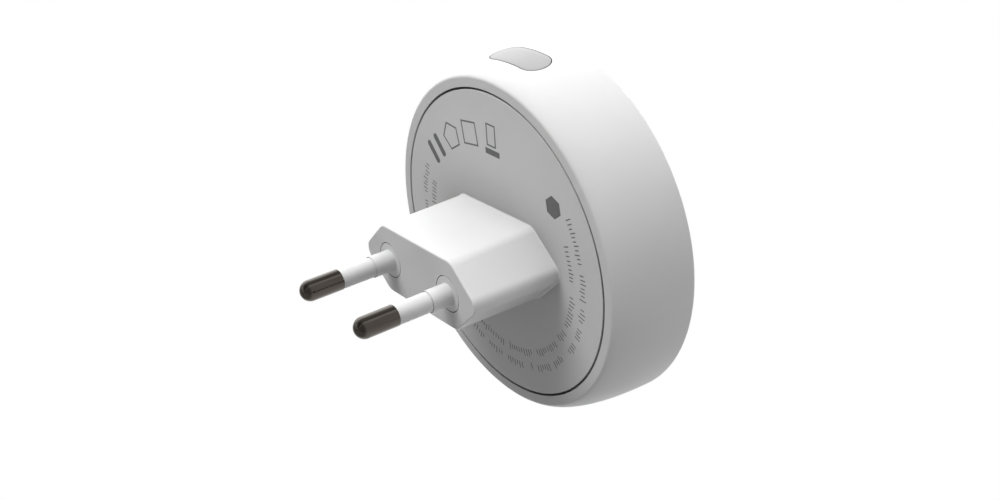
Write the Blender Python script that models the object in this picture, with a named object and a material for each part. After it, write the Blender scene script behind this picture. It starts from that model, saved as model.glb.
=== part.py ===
"""Plug-in night light with a two-pin plug, as a working assembly of separate pieces.

Metres, +Z up. The origin is the centre of the plug's end face, the plane that meets the socket.
The pins point along +Y into the wall, and the light shines along -Y into the room. The disc's big
round pieces are turned about the Y axis, and their profiles give (radius, depth), where depth runs
from the rear cover's outer face towards the room.
"""

import math

import bmesh
import bpy
from mathutils import Matrix, Vector

MM = 0.001
FIT_GAP = 0.1 * MM

# Plug: pin sizes of the two-pin 2.5 A European plug
PIN_SPACING = 19.0 * MM
PIN_LENGTH = 19.0 * MM
PIN_RADIUS = 2.0 * MM
PIN_CORE_RADIUS = 1.5 * MM
PIN_TAIL_RADIUS = 1.3 * MM
PIN_HEAD_RADIUS = 2.6 * MM
PIN_HEAD_THICKNESS = 1.6 * MM
PIN_TAIL_END_Y = -14.5 * MM
SLEEVE_RADIUS = 1.9 * MM
SLEEVE_END_Y = 11.0 * MM
SLEEVE_START_Y = -2.0 * MM
COLLAR_RADIUS = 2.05 * MM
COLLAR_LENGTH = 4.2 * MM
BUSH_FLANGE_RADIUS = 3.35 * MM
BUSH_FLANGE_THICKNESS = 1.9 * MM
BUSH_TAIL_RADIUS = 2.9 * MM
BUSH_TAIL_Y = -7.3 * MM

# Plug body: a flattened hexagon that widens a little towards the disc
PLUG_DEPTH = 18.2 * MM
PLUG_WALL = 1.6 * MM
PLUG_END_WALL = 3.2 * MM
SIDE_CORNER_RADIUS = 2.3 * MM
TOP_CORNER_RADIUS = 3.0 * MM
FACE_HEXAGON = (18.82 * MM, 11.2 * MM, 6.75 * MM)  # half width at the side corners, half flat, half height
BASE_HEXAGON = (19.2 * MM, 11.0 * MM, 7.28 * MM)
POST_RADIUS = 2.2 * MM
POST_END_Y = -9.05 * MM
PILOT_RADIUS = 1.1 * MM
PILOT_DEPTH = 4.6 * MM
SCREW_HOLE_RADIUS = 1.35 * MM
CLAMP_SIZE = Vector((26.0, 1.8, 6.8)) * MM

# Disc
PLATE_Y = -PLUG_DEPTH
COVER_RADIUS = 29.95 * MM
COVER_THICKNESS = 1.8 * MM
SEAM_WIDTH = 0.45 * MM
RIM_RADIUS = 32.3 * MM
RIM_EDGE = 0.3 * MM  # how far the rim's rounding reaches to each side of its corner
RIM_ANGLE = math.radians(11.5)  # where the side wall's quarter ellipse starts
HOUSING_RADIUS = 35.3 * MM
WIDEST_DEPTH = 16.2 * MM
FRONT_EDGE_RADIUS = 0.4 * MM
REAR_LEDGE_RADIUS = 29.1 * MM
REAR_LEDGE_DEPTHS = (1.9 * MM, 3.0 * MM)
FRONT_LEDGE_RADIUS = 32.6 * MM
FRONT_LEDGE_DEPTHS = (13.1 * MM, 14.3 * MM)
DIFFUSER_SEAT_RADIUS = 33.8 * MM
DIFFUSER_RADIUS = 33.65 * MM
DIFFUSER_THICKNESS = 1.6 * MM
DIFFUSER_SKIRT_RADII = (31.0 * MM, 32.45 * MM)
DIFFUSER_SKIRT_DEPTH = 11.95 * MM
DIFFUSER_BEAD_RADIUS = 32.9 * MM
DIFFUSER_BEAD_DEPTHS = (12.35 * MM, 12.6 * MM, 12.95 * MM)
DISH_RADIUS = 31.5 * MM
DISH_RIM_DEPTH = 16.2 * MM
DISH_CENTRE_DEPTH = 14.7 * MM
SKIRT_RADII = (27.3 * MM, 28.9 * MM)
SKIRT_DEPTH = 4.8 * MM
HOOK_RADIUS = 29.7 * MM
HOOK_DEPTHS = (3.15 * MM, 4.5 * MM)
HOOK_SWEEP = math.radians(24)
HOOK_ANGLES = (45, 135, 225, 315)

# Light sensor, at the top of the disc
WINDOW_SIZE = Vector((14.3, 5.9)) * MM  # across the disc, and along its depth
WINDOW_CORNER_RADIUS = 2.9 * MM
WINDOW_GAP = 0.2 * MM
WINDOW_DEPTH = 8.25 * MM
WINDOW_FLANGE = 0.6 * MM
WINDOW_FLANGE_RADII = (31.2 * MM, 32.3 * MM)
SENSOR_DEPTH = 5.0 * MM
SENSOR_TOP_Z = 27.4 * MM
PIPE_DEPTH = 5.8 * MM
PIPE_ENDS_Z = (27.8 * MM, 30.8 * MM)
PIPE_HALF_SIZES = ((2.0 * MM, 1.3 * MM), (4.0 * MM, 1.5 * MM))  # at each end, across and along the depth
SHIELD_SIZE = Vector((9.8, 4.4, 2.9)) * MM

# Circuit board, its screws and the light tray
BOARD_RADIUS = 27.0 * MM
BOARD_DEPTH = 6.8 * MM
BOARD_THICKNESS = 1.2 * MM
BOSS_CIRCLE = 22.0 * MM
BOSS_ANGLES = (30, 150, 270)
BOSS_RADIUS = 2.5 * MM
PEG_ANGLES = (0, 120, 240)
PEG_RADIUS = 1.0 * MM
PEG_END_DEPTH = 6.5 * MM
LED_CIRCLE = 17.0 * MM
LED_COUNT = 8
LED_SIZE = Vector((3.5, 0.8, 2.8)) * MM
TRAY_DEPTH = 9.7 * MM
TRAY_THICKNESS = 1.0 * MM
TRAY_FLOOR_RADIUS = 25.4 * MM
TRAY_RIM_RADII = (29.9 * MM, 30.8 * MM)
TRAY_RIM_DEPTH = 13.0 * MM
TRAY_WINDOW_RADIUS = 2.6 * MM

LARGE_SEGMENTS = 48
SMALL_SEGMENTS = 20
SCREW_SEGMENTS = 12
CORNER_STEPS = 4
SMOOTH_ANGLE = math.radians(35)
MERGE = 1e-6

COLOURS = {  # base colour, roughness, metallic
    "white_plastic": ((0.86, 0.86, 0.86), 0.45, 0.0),
    "pin_insulation": ((0.88, 0.88, 0.87), 0.4, 0.0),
    "pin_metal": ((0.28, 0.26, 0.23), 0.2, 1.0),
    "diffuser": ((0.93, 0.92, 0.88), 0.55, 0.0),
    "reflector": ((0.93, 0.93, 0.93), 0.3, 0.0),
    "sensor_window": ((0.55, 0.55, 0.55), 0.4, 0.0),
    "clear_plastic": ((0.85, 0.9, 0.92), 0.1, 0.0),
    "black_plastic": ((0.03, 0.03, 0.03), 0.5, 0.0),
    "spring_bronze": ((0.72, 0.5, 0.25), 0.3, 1.0),
    "screw_steel": ((0.62, 0.62, 0.64), 0.3, 1.0),
    "board": ((0.03, 0.24, 0.1), 0.5, 0.0),
    "led": ((0.95, 0.8, 0.3), 0.35, 0.0),
    "film_box": ((0.75, 0.62, 0.1), 0.4, 0.0),
    "capacitor_can": ((0.06, 0.08, 0.16), 0.35, 0.0),
    "resistor_body": ((0.2, 0.42, 0.5), 0.5, 0.0),
    "varistor_disc": ((0.1, 0.25, 0.6), 0.4, 0.0),
}


# ---------------------------------------------------------------- helpers


def clear_scene():
    for obj in list(bpy.data.objects):
        bpy.data.objects.remove(obj, do_unlink=True)


def material(name):
    """The shared Principled material of this name, made on first use."""
    if name in bpy.data.materials:
        return bpy.data.materials[name]
    colour, roughness, metallic = COLOURS[name]
    made = bpy.data.materials.new(name)
    made.use_nodes = True
    shader = made.node_tree.nodes["Principled BSDF"]
    shader.inputs["Base Color"].default_value = (*colour, 1.0)
    shader.inputs["Roughness"].default_value = roughness
    shader.inputs["Metallic"].default_value = metallic
    made.diffuse_color = (*colour, 1.0)
    return made


def add_object(name, bm, material_name=None, parent=None):
    """Turns a bmesh into an object, smooth apart from its hard edges."""
    bmesh.ops.remove_doubles(bm, verts=bm.verts, dist=MERGE)
    bmesh.ops.recalc_face_normals(bm, faces=bm.faces)
    mesh = bpy.data.meshes.new(name)
    bm.to_mesh(mesh)
    bm.free()
    mesh.shade_smooth()
    mesh.set_sharp_from_angle(angle=SMOOTH_ANGLE)
    obj = bpy.data.objects.new(name, mesh)
    bpy.context.scene.collection.objects.link(obj)
    if material_name:
        mesh.materials.append(material(material_name))
    if parent:
        obj.parent = parent
    return obj


def disc_y(depth):
    """The Y of a depth into the disc, counted from the rear cover's outer face."""
    return PLATE_Y - depth


def turned_mesh(profile, segments, sweep=2 * math.pi, start=0.0):
    """A bmesh of a closed (radius, y) profile turned about the Y axis, whole or as a wedge."""
    bm = bmesh.new()
    verts = [bm.verts.new((radius, y, 0.0)) for radius, y in profile]
    whole = math.isclose(sweep, 2 * math.pi)
    pairs = [(verts[i - 1], verts[i]) for i in range(len(verts))]
    edges = [bm.edges.new(pair) for pair in pairs if max(vert.co.x for vert in pair) > 0.0]
    bmesh.ops.rotate(bm, verts=bm.verts, matrix=Matrix.Rotation(-start, 3, "Y"))
    if not whole:
        bm.faces.new(verts)
    bmesh.ops.spin(
        bm,
        geom=[*verts, *edges],
        cent=(0, 0, 0),
        axis=(0, -1, 0),
        angle=sweep,
        steps=segments,
        use_merge=whole,
    )
    if not whole:
        ends = [e for e in bm.edges if e.is_boundary]
        bmesh.ops.holes_fill(bm, edges=ends, sides=len(profile))
    bmesh.ops.remove_doubles(bm, verts=bm.verts, dist=MERGE)
    bmesh.ops.dissolve_degenerate(bm, edges=bm.edges, dist=MERGE)
    return bm


def turned(name, profile, material_name, segments=SMALL_SEGMENTS, parent=None):
    return add_object(name, turned_mesh(profile, segments), material_name, parent)


def disc_profile(points):
    """Turns (radius, depth) points into (radius, y) points."""
    return [(radius, disc_y(depth)) for radius, depth in points]


def box_mesh(low, high, bevel=0.0):
    """A bmesh box between two corners, with its edges bevelled if a width is given."""
    bm = bmesh.new()
    low, high = Vector(low), Vector(high)
    bmesh.ops.create_cube(bm, size=1.0)
    bmesh.ops.scale(bm, vec=high - low, verts=bm.verts)
    bmesh.ops.translate(bm, vec=(low + high) / 2, verts=bm.verts)
    if bevel:
        bmesh.ops.bevel(bm, geom=list(bm.edges), offset=bevel, segments=1, affect="EDGES")
    return bm


def box(name, centre, size, material_name=None, bevel=0.0):
    centre, half = Vector(centre), Vector(size) / 2
    return add_object(name, box_mesh(centre - half, centre + half, bevel), material_name)


def rod_mesh(start, end, radius, segments=SMALL_SEGMENTS):
    """A bmesh cylinder from one point to another."""
    start, end = Vector(start), Vector(end)
    along = end - start
    turn = Vector((0, 0, 1)).rotation_difference(along.normalized()).to_matrix().to_4x4()
    bm = bmesh.new()
    bmesh.ops.create_cone(
        bm,
        cap_ends=True,
        segments=segments,
        radius1=radius,
        radius2=radius,
        depth=along.length,
        matrix=Matrix.Translation((start + end) / 2) @ turn,
    )
    return bm


def rod(name, start, end, radius, material_name=None, segments=SMALL_SEGMENTS):
    return add_object(name, rod_mesh(start, end, radius, segments), material_name)


def prism_mesh(outline, direction):
    """A bmesh made by extruding a flat outline of points along a vector."""
    bm = bmesh.new()
    face = bm.faces.new([bm.verts.new(point) for point in outline])
    made = bmesh.ops.extrude_face_region(bm, geom=[face])
    moved = [item for item in made["geom"] if isinstance(item, bmesh.types.BMVert)]
    bmesh.ops.translate(bm, vec=direction, verts=moved)
    return bm


def helper(obj):
    """Marks a cutter or a joined-on shape, which isn't a piece by itself."""
    obj.hide_render = True
    obj.display_type = "WIRE"
    return obj


def combine(obj, others, operation):
    """Adds one Boolean modifier for each of the other shapes, which become helpers."""
    for other in others:
        modifier = obj.modifiers.new(f"{operation.lower()} {other.name}", "BOOLEAN")
        modifier.operation = operation
        modifier.solver = "EXACT"
        modifier.object = helper(other)
    return obj


def round_corners(corners, steps=CORNER_STEPS):
    """An outline in the plane from (x, z, radius) corners, each rounded by an arc."""
    outline = []
    for i, (x, z, radius) in enumerate(corners):
        corner = Vector((x, z))
        before = (Vector(corners[i - 1][:2]) - corner).normalized()
        after = (Vector(corners[(i + 1) % len(corners)][:2]) - corner).normalized()
        half_angle = before.angle(after) / 2
        centre = corner + (before + after).normalized() * radius / math.sin(half_angle)
        first = corner + before * radius / math.tan(half_angle) - centre
        last = corner + after * radius / math.tan(half_angle) - centre
        turn = first.angle_signed(last)
        for step in range(steps + 1):
            spoke = first.copy()
            spoke.rotate(Matrix.Rotation(-turn * step / steps, 2))
            outline.append(centre + spoke)
    return outline


def hexagon(shape, inset=0.0):
    """The plug's rounded hexagon as (x, z) points, with its walls moved in by an inset."""
    half_width, half_flat, half_height = shape
    slant = math.hypot(half_width - half_flat, half_height)
    side = half_width - inset * slant / half_height
    top = half_height - inset
    flat = side - (half_width - half_flat) * top / half_height
    side_radius = max(SIDE_CORNER_RADIUS - inset, 0.5 * MM)
    top_radius = max(TOP_CORNER_RADIUS - inset, 0.5 * MM)
    return round_corners(
        [
            (side, 0.0, side_radius),
            (flat, top, top_radius),
            (-flat, top, top_radius),
            (-side, 0.0, side_radius),
            (-flat, -top, top_radius),
            (flat, -top, top_radius),
        ]
    )


def hexagon_at(y, inset=0.0):
    """The hexagon's shape at a Y between the disc and the end face, followed on past either."""
    share = (y - PLATE_Y) / PLUG_DEPTH
    shape = [base + (face - base) * share for base, face in zip(BASE_HEXAGON, FACE_HEXAGON)]
    return [(x, y, z) for x, z in hexagon(shape, inset)]


def lofted_mesh(rings):
    """A closed bmesh through rings of points, each ring with the same count."""
    bm = bmesh.new()
    loops = [[bm.verts.new(point) for point in ring] for ring in rings]
    for near, far in zip(loops, loops[1:]):
        for i in range(len(near)):
            bm.faces.new((near[i - 1], near[i], far[i], far[i - 1]))
    bm.faces.new(loops[0])
    bm.faces.new(loops[-1])
    return bm


def on_circle(radius, degrees, y):
    """A point on a circle about the Y axis. 0 degrees is +X and 90 is +Z."""
    angle = math.radians(degrees)
    return Vector((radius * math.cos(angle), y, radius * math.sin(angle)))


# ---------------------------------------------------------------- casings


def side_wall(angle):
    """(radius, depth) on the side wall's ellipse, which runs from the rim's corner to the widest place."""
    across = (math.sin(angle) - math.sin(RIM_ANGLE)) / (1 - math.sin(RIM_ANGLE))
    along = 1 - math.cos(angle) / math.cos(RIM_ANGLE)
    return RIM_RADIUS + (HOUSING_RADIUS - RIM_RADIUS) * across, WIDEST_DEPTH * along


def housing_outside(steps=8, edge_steps=3):
    """The housing's outer profile as (radius, depth): round rim, curved side, round front edge."""
    angles = [RIM_ANGLE + (math.pi / 2 - RIM_ANGLE) * step / steps for step in range(steps + 1)]
    side = [side_wall(angle) for angle in angles]
    corner = Vector(side[0])
    before = corner - Vector((RIM_EDGE, 0.0))
    after = corner + (Vector(side[1]) - corner).normalized() * RIM_EDGE
    middle = (before + 2 * corner + after) / 4
    side[0:1] = [tuple(before), tuple(middle), tuple(after)]
    edge = []
    for step in range(1, edge_steps + 1):
        angle = math.pi / 2 * step / edge_steps
        inward = FRONT_EDGE_RADIUS * (1 - math.cos(angle))
        edge.append((HOUSING_RADIUS - inward, WIDEST_DEPTH + FRONT_EDGE_RADIUS * math.sin(angle)))
    return side + edge


def window_cutter(name, grow):
    """An upright prism of the sensor window's outline, grown on all sides."""
    half_x = WINDOW_SIZE.x / 2 + grow
    half_y = WINDOW_SIZE.y / 2 + grow
    radius = WINDOW_CORNER_RADIUS + grow
    corners = [
        (half_x, half_y, radius),
        (-half_x, half_y, radius),
        (-half_x, -half_y, radius),
        (half_x, -half_y, radius),
    ]
    centre_y = disc_y(WINDOW_DEPTH)
    low_z = WINDOW_FLANGE_RADII[0] * 0.9
    outline = [(x, centre_y + y, low_z) for x, y in round_corners(corners)]
    return add_object(name, prism_mesh(outline, (0, 0, HOUSING_RADIUS * 1.1 - low_z)))


def housing_ring():
    """The disc's outer shell: a ledge inside each open end, and an opening for the sensor window."""
    seat = COVER_RADIUS + SEAM_WIDTH
    ledge_top, ledge_foot = REAR_LEDGE_DEPTHS
    front_foot, front_top = FRONT_LEDGE_DEPTHS
    front = WIDEST_DEPTH + FRONT_EDGE_RADIUS
    inside = [
        (DIFFUSER_SEAT_RADIUS, front - 0.2 * MM),
        (DIFFUSER_SEAT_RADIUS, front_top),
        (FRONT_LEDGE_RADIUS, front_top),
        (FRONT_LEDGE_RADIUS, front_foot),
        (FRONT_LEDGE_RADIUS + 0.9 * MM, front_foot - 0.9 * MM),
        (RIM_RADIUS, ledge_foot + 0.5 * MM),
        (RIM_RADIUS - 0.5 * MM, ledge_foot),
        (REAR_LEDGE_RADIUS, ledge_foot),
        (REAR_LEDGE_RADIUS, ledge_top),
        (seat, ledge_top),
        (seat, 0.0),
    ]
    profile = disc_profile(housing_outside() + inside)
    ring = turned("housing_ring", profile, "white_plastic", LARGE_SEGMENTS)
    return combine(ring, [window_cutter("window opening", WINDOW_GAP)], "DIFFERENCE")


def snap_hook(degrees):
    """One arc-shaped snap hook on the rear cover's skirt."""
    inner, outer = SKIRT_RADII
    top, foot = HOOK_DEPTHS
    middle = (inner + outer) / 2
    profile = disc_profile(
        [
            (middle, top),
            (HOOK_RADIUS, top),
            (HOOK_RADIUS, top + 0.4 * MM),
            (outer, foot),
            (middle, foot),
        ]
    )
    start = math.radians(degrees) - HOOK_SWEEP / 2
    return add_object(f"hook {degrees}", turned_mesh(profile, 4, HOOK_SWEEP, start))


def rear_cover():
    """The round back plate and the hollow plug body in one moulding, with its posts, skirt and snap hooks."""
    inner, outer = SKIRT_RADII
    inside = COVER_THICKNESS
    plate_profile = disc_profile(
        [
            (0.0, 0.0),
            (COVER_RADIUS, 0.0),
            (COVER_RADIUS, inside),
            (outer, inside),
            (outer, SKIRT_DEPTH),
            (inner, SKIRT_DEPTH),
            (inner, inside),
            (0.0, inside),
        ]
    )
    cover = turned("rear_cover", plate_profile, "white_plastic", LARGE_SEGMENTS)
    root_y = disc_y(inside / 2)
    body = add_object("plug body", lofted_mesh([hexagon_at(root_y), hexagon_at(0.0)]))
    cavity_end = disc_y(inside + 1.0 * MM)
    cavity = add_object(
        "plug cavity",
        lofted_mesh([hexagon_at(cavity_end, PLUG_WALL), hexagon_at(-PLUG_END_WALL, PLUG_WALL)]),
    )
    combine(cover, [body] + [snap_hook(degrees) for degrees in HOOK_ANGLES], "UNION")
    combine(cover, [cavity], "DIFFERENCE")
    post = rod("clamp post", (0, -PLUG_END_WALL / 2, 0), (0, POST_END_Y, 0), POST_RADIUS)
    boss_y = disc_y(inside / 2)
    boss_end = disc_y(BOARD_DEPTH) + FIT_GAP
    bosses, pilots = [], []
    for degrees in BOSS_ANGLES:
        start, end = (on_circle(BOSS_CIRCLE, degrees, y) for y in (boss_y, boss_end))
        bosses.append(rod(f"boss {degrees}", start, end, BOSS_RADIUS, segments=SCREW_SEGMENTS))
        near, far = (end + Vector((0, offset, 0)) for offset in (PILOT_DEPTH, -1.0 * MM))
        pilots.append(rod(f"pilot {degrees}", near, far, PILOT_RADIUS, segments=SCREW_SEGMENTS))
    combine(cover, [post] + bosses, "UNION")
    start_y, end_y = POST_END_Y + PILOT_DEPTH, POST_END_Y - 1.0 * MM
    near, far = (0, start_y, 0), (0, end_y, 0)
    pilots.append(rod("post pilot", near, far, PILOT_RADIUS, segments=SCREW_SEGMENTS))
    holes = []
    for side in (-1, 1):
        x = side * PIN_SPACING / 2
        counterbore_y = -BUSH_FLANGE_THICKNESS - FIT_GAP
        far_y = -PLUG_END_WALL - 1.0 * MM
        wide = BUSH_FLANGE_RADIUS + FIT_GAP
        holes.append(rod(f"counterbore {side}", (x, 1.0 * MM, 0), (x, counterbore_y, 0), wide))
        narrow = BUSH_TAIL_RADIUS + FIT_GAP
        holes.append(rod(f"bush hole {side}", (x, -1.0 * MM, 0), (x, far_y, 0), narrow))
    half_notch = 6.0 * MM
    notch_low = (-half_notch, disc_y(SKIRT_DEPTH + 1.0 * MM), inner - 2.0 * MM)
    notch_high = (half_notch, disc_y(inside + 0.2 * MM), outer + 2.0 * MM)
    notch = add_object("sensor notch", box_mesh(notch_low, notch_high))
    return combine(cover, pilots + holes + [notch], "DIFFERENCE")


def front_diffuser():
    """The milky front lens: a shallow dish with a skirt that snaps behind the housing's front ledge."""

    def dish(depth_at_centre, radius_end, steps):
        rise = DISH_RIM_DEPTH - DISH_CENTRE_DEPTH
        radii = [radius_end * step / steps for step in range(steps + 1)]
        return [(radius, depth_at_centre + rise * (radius / DISH_RADIUS) ** 2) for radius in radii]

    seat = FRONT_LEDGE_DEPTHS[1] + FIT_GAP
    skirt_inner, skirt_outer = DIFFUSER_SKIRT_RADII
    bead_foot, bead_middle, bead_top = DIFFUSER_BEAD_DEPTHS
    edge_round = 0.4 * MM
    front = dish(DISH_CENTRE_DEPTH, DISH_RADIUS, 4)
    back = dish(DISH_CENTRE_DEPTH - DIFFUSER_THICKNESS, skirt_inner, 3)
    edge = [
        (DIFFUSER_RADIUS - edge_round, DISH_RIM_DEPTH),
        (DIFFUSER_RADIUS, DISH_RIM_DEPTH - edge_round),
        (DIFFUSER_RADIUS, seat),
        (skirt_outer, seat),
        (skirt_outer, bead_top),
        (DIFFUSER_BEAD_RADIUS, bead_middle),
        (DIFFUSER_BEAD_RADIUS, bead_foot),
        (skirt_outer, DIFFUSER_SKIRT_DEPTH),
        (skirt_inner, DIFFUSER_SKIRT_DEPTH),
    ]
    return turned("front_diffuser", disc_profile(front + edge + back[::-1]), "diffuser", LARGE_SEGMENTS)


def reflector_tray():
    """The tray in front of the board: a floor with a hole for each LED, a sloping wall, and pegs."""
    floor, top = TRAY_DEPTH, TRAY_DEPTH + TRAY_THICKNESS
    rim_inner, rim_outer = TRAY_RIM_RADII
    profile = disc_profile(
        [
            (0.0, top),
            (TRAY_FLOOR_RADIUS, top),
            (rim_inner, TRAY_RIM_DEPTH - 0.4 * MM),
            (rim_inner, TRAY_RIM_DEPTH),
            (rim_outer, TRAY_RIM_DEPTH),
            (rim_outer, TRAY_RIM_DEPTH - 0.8 * MM),
            (TRAY_FLOOR_RADIUS, floor),
            (0.0, floor),
        ]
    )
    tray = turned("reflector_tray", profile, "reflector", LARGE_SEGMENTS)
    pegs = []
    for degrees in PEG_ANGLES:
        start, end = (on_circle(BOSS_CIRCLE, degrees, disc_y(d)) for d in (floor + 0.5 * MM, PEG_END_DEPTH))
        pegs.append(rod(f"peg {degrees}", start, end, PEG_RADIUS, segments=SCREW_SEGMENTS))
    combine(tray, pegs, "UNION")
    holes = []
    for number, degrees in enumerate(led_angles(), 1):
        near, far = (on_circle(LED_CIRCLE, degrees, disc_y(d)) for d in (floor - 1 * MM, top + 1 * MM))
        holes.append(rod(f"light hole {number}", near, far, TRAY_WINDOW_RADIUS, segments=SCREW_SEGMENTS))
    return combine(tray, holes, "DIFFERENCE")


# ---------------------------------------------------------------- plug


def pin_parts(side_name, x):
    """One pin with its insulating sleeve and the bush that carries it in the plug's end wall."""
    anchor = bpy.data.objects.new(f"{side_name} pin axis", None)
    anchor.location = (x, 0.0, 0.0)
    bpy.context.scene.collection.objects.link(anchor)
    bore = PIN_CORE_RADIUS + FIT_GAP / 2
    head_y = BUSH_TAIL_Y - FIT_GAP
    dome = []
    for step in range(6):
        angle = math.pi / 2 * step / 5
        dome.append((PIN_RADIUS * math.cos(angle), PIN_LENGTH - PIN_RADIUS * (1 - math.sin(angle))))
    pin = [
        (0.0, PIN_TAIL_END_Y),
        (PIN_TAIL_RADIUS, PIN_TAIL_END_Y),
        (PIN_TAIL_RADIUS, head_y - PIN_HEAD_THICKNESS),
        (PIN_HEAD_RADIUS, head_y - PIN_HEAD_THICKNESS),
        (PIN_HEAD_RADIUS, head_y),
        (PIN_CORE_RADIUS, head_y),
        (PIN_CORE_RADIUS, SLEEVE_END_Y),
        (PIN_RADIUS, SLEEVE_END_Y),
        *dome,
    ]
    sleeve = [
        (bore, SLEEVE_START_Y),
        (SLEEVE_RADIUS, SLEEVE_START_Y),
        (SLEEVE_RADIUS, SLEEVE_END_Y - FIT_GAP / 2),
        (bore, SLEEVE_END_Y - FIT_GAP / 2),
    ]
    sleeve_bore = SLEEVE_RADIUS + FIT_GAP / 2
    step_y = SLEEVE_START_Y - FIT_GAP
    bush = [
        (sleeve_bore, step_y),
        (sleeve_bore, COLLAR_LENGTH),
        (COLLAR_RADIUS - 0.05 * MM, COLLAR_LENGTH),
        (COLLAR_RADIUS, COLLAR_LENGTH - 0.05 * MM),
        (COLLAR_RADIUS, 0.0),
        (BUSH_FLANGE_RADIUS, 0.0),
        (BUSH_FLANGE_RADIUS, -BUSH_FLANGE_THICKNESS),
        (BUSH_TAIL_RADIUS, -BUSH_FLANGE_THICKNESS),
        (BUSH_TAIL_RADIUS, BUSH_TAIL_Y),
        (bore, BUSH_TAIL_Y),
        (bore, step_y),
    ]
    turned(f"pin_{side_name}", pin, "pin_metal", parent=anchor)
    turned(f"pin_sleeve_{side_name}", sleeve, "pin_insulation", parent=anchor)
    turned(f"pin_bush_{side_name}", bush, "pin_insulation", parent=anchor)


def pin_clamp():
    """The bar across the plug's inside that holds both pin heads against their bushes."""
    top = BUSH_TAIL_Y - FIT_GAP - PIN_HEAD_THICKNESS - 0.15 * MM
    centre = (0, top - CLAMP_SIZE.y / 2, 0)
    bar = box("pin_clamp_bar", centre, CLAMP_SIZE, "white_plastic", bevel=0.5 * MM)
    holes = []
    for place in (-1, 0, 1):
        x = place * PIN_SPACING / 2
        radius = PIN_TAIL_RADIUS + 0.2 * MM if place else SCREW_HOLE_RADIUS
        near, far = (x, top + 1 * MM, 0), (x, top - CLAMP_SIZE.y - 1 * MM, 0)
        holes.append(rod(f"clamp hole {place}", near, far, radius, segments=SCREW_SEGMENTS))
    combine(bar, holes, "DIFFERENCE")
    screw("clamp_screw", (0, top - CLAMP_SIZE.y - FIT_GAP, 0), 6.4 * MM)


def screw(name, seat, length):
    """A self-tapping pan head screw along +Y, with ridges for its thread and a cross in its head."""
    head_radius, head_height = 2.1 * MM, 1.3 * MM
    root, crest, pitch = 0.75 * MM, 1.0 * MM, 0.9 * MM
    head = [
        (0.0, -head_height),
        (head_radius * 0.62, -head_height),
        (head_radius * 0.93, -head_height * 0.6),
        (head_radius, 0.0),
        (root, 0.0),
    ]
    thread = []
    for ridge in range(int((length - 1.0 * MM) / pitch)):
        start = 0.5 * MM + ridge * pitch
        thread += [(root, start), (crest, start + pitch / 2)]
    tip = [(root, length - 0.5 * MM), (0.0, length)]
    made = turned(name, head + thread + tip, "screw_steel", SCREW_SEGMENTS)
    made.location = seat
    slot_depth, slot_width, slot_length = 0.7 * MM, 0.5 * MM, 2.2 * MM
    for number, size in enumerate(((slot_length, slot_width), (slot_width, slot_length)), 1):
        slot = box(
            f"{name} slot {number}",
            (0, -head_height, 0),
            (size[0], 2 * slot_depth, size[1]),
        )
        slot.parent = made
        combine(made, [slot], "DIFFERENCE")
    return made


def contact_spring(side_name, side):
    """A bronze C-shaped spring between a pin's tail and its pad on the board."""
    thickness, width, bend = 0.3 * MM, 3.0 * MM, 1.6 * MM
    arm_start, arm_end = 7.6 * MM, 12.2 * MM
    top = PIN_TAIL_END_Y - FIT_GAP - thickness / 2
    foot = disc_y(BOARD_DEPTH) + 2 * FIT_GAP + thickness / 2
    path = [(arm_start, top - 0.5 * MM), (PIN_SPACING / 2, top)]
    for centre_y, first in ((top - bend, 90), (foot + bend, 0)):
        for step in range(5):
            angle = math.radians(first - 90 * step / 4)
            path.append((arm_end + bend * math.cos(angle), centre_y + bend * math.sin(angle)))
    path.append((arm_start, foot))
    bm = bmesh.new()
    verts = [bm.verts.new((x, y, -width / 2)) for x, y in path]
    edges = [bm.edges.new(pair) for pair in zip(verts, verts[1:])]
    made = bmesh.ops.extrude_edge_only(bm, edges=edges)
    moved = [item for item in made["geom"] if isinstance(item, bmesh.types.BMVert)]
    bmesh.ops.translate(bm, vec=(0, 0, width), verts=moved)
    spring = add_object(f"contact_spring_{side_name}", bm, "spring_bronze")
    if side < 0:
        spring.rotation_euler = (0, math.pi, 0)
    solidify = spring.modifiers.new("strip thickness", "SOLIDIFY")
    solidify.thickness = thickness
    solidify.offset = 0.0


# ---------------------------------------------------------------- light sensor


def sensor_window():
    """The grey window in the housing's top, flush outside and held by a flange inside."""
    wall_inside = WINDOW_FLANGE_RADII[1] - 0.3 * MM
    front_end = (wall_inside, WIDEST_DEPTH + FRONT_EDGE_RADIUS)
    rim = (wall_inside, 0.0)
    flush = turned(
        "sensor_window",
        disc_profile(housing_outside() + [front_end, rim]),
        "sensor_window",
        LARGE_SEGMENTS,
    )
    combine(flush, [window_cutter("window outline", 0.0)], "INTERSECT")
    inner, outer = WINDOW_FLANGE_RADII
    band_depths = (0.0, WIDEST_DEPTH)
    band_profile = [(outer, band_depths[0]), (outer, band_depths[1])]
    band_profile += [(inner, band_depths[1]), (inner, band_depths[0])]
    band = turned("window flange", disc_profile(band_profile), None, LARGE_SEGMENTS)
    combine(band, [window_cutter("flange outline", WINDOW_FLANGE)], "INTERSECT")
    return combine(flush, [band], "UNION")


def sensor_light_pipe():
    """A clear block that narrows from the window down to the sensor."""
    rings = []
    y = disc_y(PIPE_DEPTH)
    for z, (half_x, half_y) in zip(PIPE_ENDS_Z, PIPE_HALF_SIZES):
        corners = ((half_x, half_y), (-half_x, half_y), (-half_x, -half_y), (half_x, -half_y))
        rings.append([(corner_x, y + corner_y, z) for corner_x, corner_y in corners])
    add_object("sensor_light_pipe", lofted_mesh(rings), "clear_plastic")


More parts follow.
